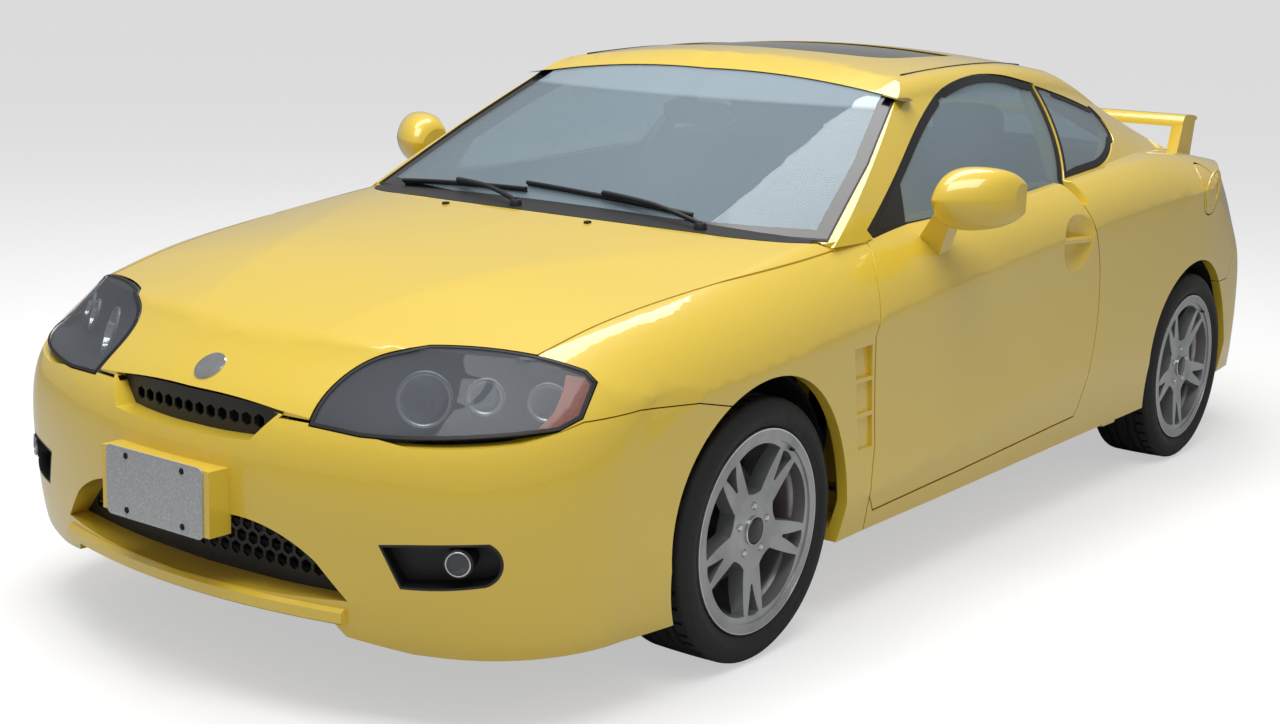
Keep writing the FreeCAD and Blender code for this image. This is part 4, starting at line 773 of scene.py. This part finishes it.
def add_round_lens(name, centre, axis, radius, lens):
    """small round lamp: bright ring and domed lens, standing on a surface"""
    ring = ((radius - 3.5, -2), (radius, -2), (radius, 2.2), (radius - 1.2, 3.2), (radius - 3.0, 3.2),
            (radius - 3.5, 2.2), (radius - 3.5, -2))
    turned(name + "_ring", ring, centre, axis, "chrome", "body")
    inner = radius - 3.6
    dome = ((0, -2), (inner, -2), (inner, 1.0), (inner * 0.86, 2.6), (inner * 0.6, 4.2), (inner * 0.3, 5.2),
            (0, 5.5))
    turned(name + "_lens", dome, centre, axis, lens, "body", angle=50.0)


class CAR_OT_lamps(bpy.types.Operator):
    """Insides of the headlamps, fog lamps and rear lamps"""
    bl_idname = "coupe.lamps"
    bl_label = "Lamps"

    def execute(self, context):
        for side in SIDES:
            end = SIDE_NAMES[side]
            for number, row in enumerate(REFLECTORS):
                add_reflector("reflector_%d_%s" % (number + 1, end), side, *row)
            shape = bmesh.new()
            inward = Vector((HEADLAMP_INWARD[0], -side * HEADLAMP_INWARD[1], HEADLAMP_INWARD[2]))
            corners = [place(x, side * y, z) for x, y, z in AMBER_STRIP]
            add_patch(shape, corners, inward, ("headlamp_lenses",), -7.5, 2.0, 3)
            finished("amber_" + end, shape, "amber_lens", "body")
            inward = Vector((FOG_INWARD[0], -side * FOG_INWARD[1], FOG_INWARD[2])).normalized()
            spot = place(FOG_LAMP[0], side * FOG_LAMP[1], FOG_LAMP[2])
            add_round_lens("fog_" + end, spot - inward * 0.001, -inward, 26.0, "clear_glass")
            for number, (y, z, radius, lens) in enumerate(TAIL_ROUNDS):
                spot, normal, distance = cast(("tail_lamps",), place(3700.0, side * y, z), -BACK)
                add_round_lens("tail_%d_%s" % (number + 1, end), spot, normal, radius, lens)
        return {"FINISHED"}


def add_wiper(number, pivot_x, pivot_y, start_y, start_z, end_y, end_z):
    aim = Vector((1.0, 0.0, -0.4)).normalized()
    spots = []
    for step in range(9):
        share = step / 8.0
        y = start_y + (end_y - start_y) * share
        z = start_z + (end_z - start_z) * share
        spot, normal, distance = cast(("windscreen", "cowl"), place(-300.0, y, z + 248.0), aim)
        spots.append((spot, normal))
    for part, lift, radius, material in (("rubber", 0.004, 3.0, "seal_rubber"),
                                         ("blade", 0.011, 5.5, "black_plastic")):
        line = [spot + normal * lift for spot, normal in spots]
        piped("wiper_%d_%s" % (number, part), line, radius, material, "body")
    middle = spots[4][0] + spots[4][1] * 0.022
    foot = cast(("cowl",), place(pivot_x, pivot_y, 1200.0), DOWN)[0]
    shape = bmesh.new()
    add_lathe(shape, ((0, -4), (16, -4), (16, 8), (13, 14), (0, 16)), foot, (0.0, 0.0, 1.0), 24)
    add_rod(shape, middle, middle - spots[4][1] * 0.014, 6.0)
    finished("wiper_%d_pivot" % number, shape, "black_plastic", "body")
    rise = foot + Vector((0.0, 0.0, 0.012))
    bend = rise.lerp(middle, 0.35) + Vector((0.0, 0.0, 0.012))
    knee = rise.lerp(middle, 0.7) + Vector((0.0, 0.0, 0.008))
    piped("wiper_%d_arm" % number, [rise, bend, knee, middle], 6.5, "black_plastic", "body")


class CAR_OT_trim(bpy.types.Operator):
    """Wipers, grille shroud, washer nozzles, plate, plain nose badge, mirror glasses and fuel lid ring"""
    bl_idname = "coupe.trim"
    bl_label = "Trim"

    def execute(self, context):
        for number, row in enumerate(WIPERS):
            add_wiper(number + 1, *row)
        shape = bmesh.new()
        low, high = SHROUD_WALL
        add_block(shape, low, high, 1.0)
        for z in SHROUD_SLATS:
            add_block(shape, (SHROUD_SLAT_FRONT, low[1], z), (high[0], high[1], z + 3), 1.0)
        finished("nose_shroud", shape, "black_plastic", "body")
        shape = bmesh.new()
        for side in SIDES:
            spot = cast(("hood",), place(WASHER[0], side * WASHER[1], 1200.0), DOWN)[0]
            x, y, z = ((spot.x - FRONT_AXLE_X) / MM, spot.y / MM, spot.z / MM)
            add_block(shape, (x - 9, y - 7, z - 2), (x + 9, y + 7, z + 6), 3.0)
        finished("washer_nozzles", shape, "black_plastic", BODY_OF["hood"])
        spot, normal, distance = cast(("hood",), place(NOSE_DISC_X, 0.0, 1200.0), DOWN)
        disc = ((0, 2.0), (27, 2.4), (31, 4.0), (36, 3.4), (38, 1.0), (38, -3), (0, -3))
        turned("nose_badge_plain", disc, spot, normal, "chrome", BODY_OF["hood"], 64)
        add_plate()
        for side in SIDES:
            add_mirror_glass(side)
        start = place(FUEL_LID[0], -1200.0, FUEL_LID[1])
        spot, normal, distance = cast(("fuel_lid",), start, Vector((0.0, 1.0, 0.0)))
        ring = ((56, -3), (66, -3), (66, 1.2), (64, 2.0), (58, 2.0), (56, 1.2), (56, -3))
        turned("fuel_lid_ring", ring, spot, normal, "paint", BODY_OF["fuel_lid"], 64)
        return {"FINISHED"}


def add_plate():
    """blank number plate with a raised rim and four bolts"""
    low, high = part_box("number_plate")
    front = (low.x - FRONT_AXLE_X) / MM
    shape = bmesh.new()
    made = bmesh.ops.create_cube(shape, size=1.0, matrix=Matrix.Translation((low + high) / 2.0)
                                 @ Matrix.Diagonal((*(high - low), 1.0)))
    edges = list({edge for vert in made["verts"] for edge in vert.link_edges})
    corners = [edge for edge in edges if abs(edge.verts[0].co.x - edge.verts[1].co.x) > 0.001]
    bmesh.ops.bevel(shape, geom=corners, offset=0.014, offset_type="OFFSET", affect="EDGES", segments=6,
                    profile=0.5, material=-1)
    face = min(shape.faces, key=lambda item: item.calc_center_median().x)
    bmesh.ops.inset_region(shape, faces=[face], thickness=0.006, depth=-0.0012, use_even_offset=True)
    plate = finished("plate_blank", shape, "plate", "body", 20.0)
    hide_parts("number_plate")
    shape = bmesh.new()
    bolt = ((0, 3.4), (5, 3.0), (7, 1.2), (7, -0.5), (0, -0.5))
    for y, z in PLATE_BOLTS:
        add_lathe(shape, bolt, place(front + 1.6, y, z), -BACK, 16)
    finished("plate_bolts", shape, "dark_steel", "body")


def add_mirror_glass(side):
    """bright glass in the open side of a mirror housing"""
    shape = bmesh.new()
    verts = []
    for y, z in MIRROR_GLASS:
        x = MIRROR_PLANE_X + (y - MIRROR_PLANE_Y) * MIRROR_SLOPE
        verts.append(shape.verts.new(place(x, side * y, z)))
    face = shape.faces.new(verts)
    shape.normal_update()
    if face.normal.x < 0.0:
        bmesh.ops.reverse_faces(shape, faces=[face])
    bmesh.ops.solidify(shape, geom=[face], thickness=0.004)
    end = SIDE_NAMES[side]
    finished("mirror_glass_" + end, shape, "mirror_face", BODY_OF["mirror_" + end])


def hub_of(wheel):
    x = 0.0 if "front" in wheel else WHEELBASE
    side = 1 if "right" in wheel else -1
    return place(x, side * WHEEL_HUB, WHEEL_Z), side


def add_tyre(wheel):
    """tyre with grooves round it and cross cuts in both shoulders"""
    centre = hub_of(wheel)[0]
    shape = bmesh.new()
    right = list(TYRE_HALF)
    left = [(r, -y) for r, y in reversed(TYRE_HALF)]
    back = [(r, -y) for r, y in TYRE_INNER] + [(r, y) for r, y in reversed(TYRE_INNER)]
    add_lathe(shape, right + left + back + right[:1], centre, (0.0, 1.0, 0.0), TREAD_STEPS)
    bmesh.ops.remove_doubles(shape, verts=shape.verts, dist=0.000005)
    cuts = []
    for face in shape.faces:
        middle = face.calc_center_median() - centre
        radius = math.hypot(middle.x, middle.z)
        step = int((math.atan2(middle.x, middle.z) / math.tau + 1.0) * TREAD_STEPS)
        if radius > 0.3045 and 0.056 < abs(middle.y) < 0.08 and step % 4 == 0:
            cuts.append(face)
    for face in bmesh.ops.extrude_discrete_faces(shape, faces=cuts)["faces"]:
        for vert in face.verts:
            out = vert.co - centre
            out.y = 0.0
            vert.co -= out.normalized() * CUT_DEPTH
    tyre = finished("tread_" + wheel, shape, "rubber", BODY_OF["tyre_" + wheel], 35.0)
    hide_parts("tyre_" + wheel)


def add_hub_trim(wheel):
    """blank centre cap, five nuts, valve and bright rim edge"""
    centre, side = hub_of(wheel)
    out = Vector((0.0, float(side), 0.0))
    body = BODY_OF["rim_" + wheel]
    cap = ((0, 76), (31, 76), (31, 85), (29, 88.5), (20, 90.5), (0, 91.5))
    turned("cap_" + wheel, cap, centre, out, "gloss_black", body, angle=40.0)
    shape = bmesh.new()
    add_lathe(shape, ((31.2, 80), (34, 80), (34, 86.5), (31.2, 88), (31.2, 80)), centre, out)
    add_lathe(shape, ((232.5, 95), (235.5, 95), (235.5, 98.6), (232.5, 98.6), (232.5, 95)), centre, out, 96)
    for step in range(5):
        turn = math.radians(72.0 * step)
        foot = centre + Vector((57.0 * math.sin(turn), 0.0, 57.0 * math.cos(turn))) * MM
        add_rod(shape, foot + out * 0.064, foot + out * 0.081, 8.4, sides=6)
        add_rod(shape, foot + out * 0.081, foot + out * 0.085, 8.0, 5.0, sides=18)
    finished("nuts_" + wheel, shape, "chrome", body, 25.0)
    shape = bmesh.new()
    turn = math.radians(36.0)
    foot = centre + Vector((207.0 * math.sin(turn), 0.0, 207.0 * math.cos(turn))) * MM
    add_rod(shape, foot + out * 0.07, foot + out * 0.104, 5.0, 3.2, sides=14)
    finished("valve_" + wheel, shape, "rubber", body)


class CAR_OT_wheels(bpy.types.Operator):
    """Tyres, rims and brake discs"""
    bl_idname = "coupe.wheels"
    bl_label = "Wheels"

    def execute(self, context):
        for wheel in WHEELS:
            add_tyre(wheel)
            dress("rim_" + wheel, "alloy")
            dress("disc_" + wheel, "steel")
            add_hub_trim(wheel)
        return {"FINISHED"}


def leaned(x, y, z, lean):
    """matrix at a place, turned back about the across axis by lean degrees"""
    return Matrix.Translation(place(x, y, z)) @ Matrix.Rotation(math.radians(lean), 4, "Y")


def soft(name, shape, material, body):
    piece = finished(name, shape, material, body, 60.0)
    return piece


def sewn(name, material, *pad):
    """one stuffed pad as a soft piece"""
    shape = bmesh.new()
    add_pad(shape, *pad)
    return soft(name, shape, material, "body")


def add_front_seat(side):
    y = side * 375.0
    end = SIDE_NAMES[side]
    cushion = sewn("seat_cushion_" + end, "cloth", (500, 300, 120), leaned(1375, y, 405, -4.0), 14.0,
                   ((0, -0.35), (0, 0.3)))
    if side < 0:
        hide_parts("front_seats")
    sewn("seat_back_" + end, "cloth", (600, 290, 105), leaned(1700, y, 748, 72.5), 14.0,
         ((0, -0.4), (0, 0.0), (0, 0.4)))
    for edge in SIDES:
        sewn("seat_bolster_%s_%s" % (end, SIDE_NAMES[edge]), "leather", (480, 78, 135),
             leaned(1372, y + edge * 178, 412, -4.0), 8.0)
        sewn("back_bolster_%s_%s" % (end, SIDE_NAMES[edge]), "leather", (560, 76, 128),
             leaned(1690, y + edge * 170, 738, 72.5), 8.0)
    sewn("head_rest_" + end, "leather", (118, 222, 92), leaned(1801, y, 1102, 80.0), 8.0,
         ((1, -0.6), (1, 0.6)), 3.6)
    shape = bmesh.new()
    for step in (-45.0, 45.0):
        add_rod(shape, place(1782, y + step, 1000), place(1796, y + step, 1062), 6.0)
    for step in (-170.0, 170.0):
        add_block(shape, (1150, y + step - 18, 231), (1600, y + step + 18, 262), 3.0)
        add_block(shape, (1180, y + step - 12, 262), (1560, y + step + 12, 345), 3.0)
    finished("seat_frame_" + end, shape, "dark_steel", "body")


def add_rear_seat():
    for side in SIDES:
        end = SIDE_NAMES[side]
        cushion = sewn("rear_cushion_" + end, "cloth", (172, 470, 130),
                       leaned(2042, side * 395, 425, -6.0), 14.0, ((1, -0.5), (1, 0.5)))
        if side < 0:
            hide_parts("rear_seat")
        sewn("rear_back_" + end, "cloth", (410, 460, 92), leaned(2150, side * 235, 690, 73.0), 12.0,
             ((1, -0.5), (1, 0.5)))
        sewn("rear_wing_" + end, "leather", (400, 160, 80), leaned(2158, side * 552, 690, 73.0), 8.0)


def add_cabin_fittings():
    """dials, vents, gear lever, interior mirror"""
    shape = bmesh.new()
    back = Vector((0.86, 0.0, 0.5)).normalized()
    radius = 48.0
    for y in DIALS:
        rim = ((radius, -3), (radius, 4), (radius - 3, 6), (radius - 6, 4), (radius - 6, -3), (radius, -3))
        add_lathe(shape, rim, place(752, y, 846), back, 32)
    for y in VENTS:
        spot, normal, distance = cast(("dashboard",), place(1100.0, y, 806.0), -BACK)
        for radius in (38.0, 26.0, 14.0):
            rim = ((radius, -3), (radius, 3), (radius - 3, 4), (radius - 5, 3), (radius - 5, -3),
                   (radius, -3))
            add_lathe(shape, rim, spot, normal, 32)
    finished("dash_rings", shape, "aluminium", "body")
    shape = bmesh.new()
    add_rod(shape, place(960, 0, 505), place(990, 0, 640), 9.0, 7.0)
    add_lathe(shape, ((0, -20), (20, -18), (27, 0), (24, 18), (12, 27), (0, 29)), place(993, 0, 655),
              (0.2, 0.0, 1.0), 32)
    add_block(shape, (880, -62, 500), (1040, 62, 516), 6.0)
    finished("gear_lever", shape, "leather", "body", 40.0)
    shape = bmesh.new()
    add_pad(shape, (34, 232, 66), leaned(905, 0, 1142, -8.0), 0.0, (), 4.0, 10)
    add_rod(shape, place(900, 0, 1160), place(872, 0, 1208), 8.0)
    finished("inside_mirror", shape, "black_plastic", "body", 50.0)


class CAR_OT_cabin(bpy.types.Operator):
    """Seats, dashboard and steering wheel"""
    bl_idname = "coupe.cabin"
    bl_label = "Cabin"

    def execute(self, context):
        dress("dashboard", "trim")
        dress("steering_wheel", "leather", 40.0)
        for side in SIDES:
            add_front_seat(side)
        add_rear_seat()
        add_cabin_fittings()
        tilt = math.radians(STEERING_TILT)
        aim = Vector((math.sin(tilt), 0.0, math.cos(tilt)))
        centre = place(*STEERING_WHEEL)
        boss = ((0, -6), (62, -6), (70, 4), (66, 14), (48, 22), (0, 25))
        turned("wheel_boss", boss, centre, aim, "trim", BODY_OF["steering_wheel"], 40, 50.0)
        return {"FINISHED"}


def add_floor(size):
    """pale floor, lifted for the camera to the backdrop's level, that keeps the car's shadow"""
    finish = Finish("floor")
    finish.set(Base_Color=(FLOOR_LEVEL,) * 3, Roughness=1.0, Specular_IOR_Level=0.0)
    rays = finish.node("LightPath")
    lifted = finish.node("Emission", None, {"Color": (FLOOR_LIFT,) * 3})
    added = finish.node("AddShader")
    mix = finish.node("MixShader")
    links = finish.tree.links
    links.new(finish.shader.outputs[0], added.inputs[0])
    links.new(lifted.outputs[0], added.inputs[1])
    links.new(rays.outputs["Is Camera Ray"], mix.inputs[0])
    links.new(finish.shader.outputs[0], mix.inputs[1])
    links.new(added.outputs[0], mix.inputs[2])
    links.new(mix.outputs[0], finish.output.inputs["Surface"])
    shape = bmesh.new()
    bmesh.ops.create_grid(shape, x_segments=1, y_segments=1, size=size / 2.0)
    mesh = bpy.data.meshes.new("floor")
    shape.to_mesh(mesh)
    shape.free()
    mesh.materials.append(finish.material)
    floor = bpy.data.objects.new("floor", mesh)
    bpy.context.scene.collection.objects.link(floor)


def add_world():
    """even white light, and a backdrop of the far floor's level for the camera"""
    world = bpy.data.worlds.new("studio")
    world.use_nodes = True
    tree = world.node_tree
    tree.nodes.clear()
    mix = tree.nodes.new("ShaderNodeMixShader")
    out = tree.nodes.new("ShaderNodeOutputWorld")
    rays = tree.nodes.new("ShaderNodeLightPath")
    for number, level in ((1, WORLD_LEVEL), (2, FLOOR_LEVEL * WORLD_LEVEL + FLOOR_LIFT)):
        background = tree.nodes.new("ShaderNodeBackground")
        background.inputs["Color"].default_value = (1.0, 1.0, 1.0, 1.0)
        background.inputs["Strength"].default_value = level
        tree.links.new(background.outputs[0], mix.inputs[number])
    tree.links.new(rays.outputs["Is Camera Ray"], mix.inputs[0])
    tree.links.new(mix.outputs[0], out.inputs["Surface"])
    bpy.context.scene.world = world


def add_lamp(name, spot, target, width, depth, power):
    light = bpy.data.lights.new(name, "AREA")
    light.shape = "RECTANGLE"
    light.size = width
    light.size_y = depth
    light.energy = power
    lamp = bpy.data.objects.new(name, light)
    lamp.location = spot
    aim = Vector(target) - Vector(spot)
    lamp.rotation_euler = aim.to_track_quat("-Z", "Y").to_euler()
    bpy.context.scene.collection.objects.link(lamp)


def add_camera():
    heading = math.radians(CAMERA_HEADING)
    fall = math.radians(CAMERA_FALL)
    roll = math.radians(CAMERA_ROLL)
    level = math.cos(fall)
    forward = Vector((math.cos(heading) * level, math.sin(heading) * level, -math.sin(fall)))
    right = forward.cross(Vector((0.0, 0.0, 1.0))).normalized()
    up = right.cross(forward)
    turned_right = right * math.cos(roll) + up * math.sin(roll)
    turned_up = up * math.cos(roll) - right * math.sin(roll)
    data = bpy.data.cameras.new("camera")
    data.sensor_width = SENSOR_WIDTH
    data.lens = SENSOR_WIDTH * CAMERA_FOCAL_PIXELS / IMAGE_WIDTH
    data.clip_end = 200.0
    camera = bpy.data.objects.new("camera", data)
    axes = Matrix((turned_right, turned_up, -forward)).transposed().to_4x4()
    camera.matrix_world = Matrix.Translation(place(*CAMERA_PLACE)) @ axes
    bpy.context.scene.collection.objects.link(camera)
    bpy.context.scene.camera = camera


class CAR_OT_stage(bpy.types.Operator):
    """Floor, studio light and camera"""
    bl_idname = "coupe.stage"
    bl_label = "Stage"

    def execute(self, context):
        settings = context.scene.coupe_stage
        bpy.context.scene.view_settings.view_transform = "Standard"
        add_floor(settings.floor_size)
        add_world()
        for name, spot, aim, width, depth, share in LAMPS:
            add_lamp(name, spot, aim, width, depth, settings.key_power * share)
        add_camera()
        return {"FINISHED"}


class CAR_PT_panel(bpy.types.Panel):
    """Buttons that build the car's looks"""
    bl_label = "Two-door coupe"
    bl_idname = "CAR_PT_panel"
    bl_space_type = "VIEW_3D"
    bl_region_type = "UI"
    bl_category = "Coupe"

    def draw(self, context):
        column = self.layout.column()
        column.prop(context.scene.coupe, "paint_colour")
        column.prop(context.scene.coupe_stage, "floor_size")
        column.prop(context.scene.coupe_stage, "key_power")
        for operator in OPERATORS:
            column.operator(operator.bl_idname)


OPERATORS = (CAR_OT_stage, CAR_OT_panels, CAR_OT_panes, CAR_OT_lamps, CAR_OT_trim, CAR_OT_gear, CAR_OT_wheels,
             CAR_OT_cabin)
CLASSES = (CarSettings, StageSettings) + OPERATORS + (CAR_PT_panel,)


def register():
    for item in CLASSES:
        bpy.utils.register_class(item)
    bpy.types.Scene.coupe = PointerProperty(type=CarSettings)
    bpy.types.Scene.coupe_stage = PointerProperty(type=StageSettings)


def unregister():
    del bpy.types.Scene.coupe_stage
    del bpy.types.Scene.coupe
    for item in reversed(CLASSES):
        bpy.utils.unregister_class(item)


def main():
    register()
    make_materials(bpy.context.scene.coupe)
    for operator in OPERATORS:
        group, name = operator.bl_idname.split(".")
        getattr(getattr(bpy.ops, group), name)()


if __name__ == "__main__":
    main()
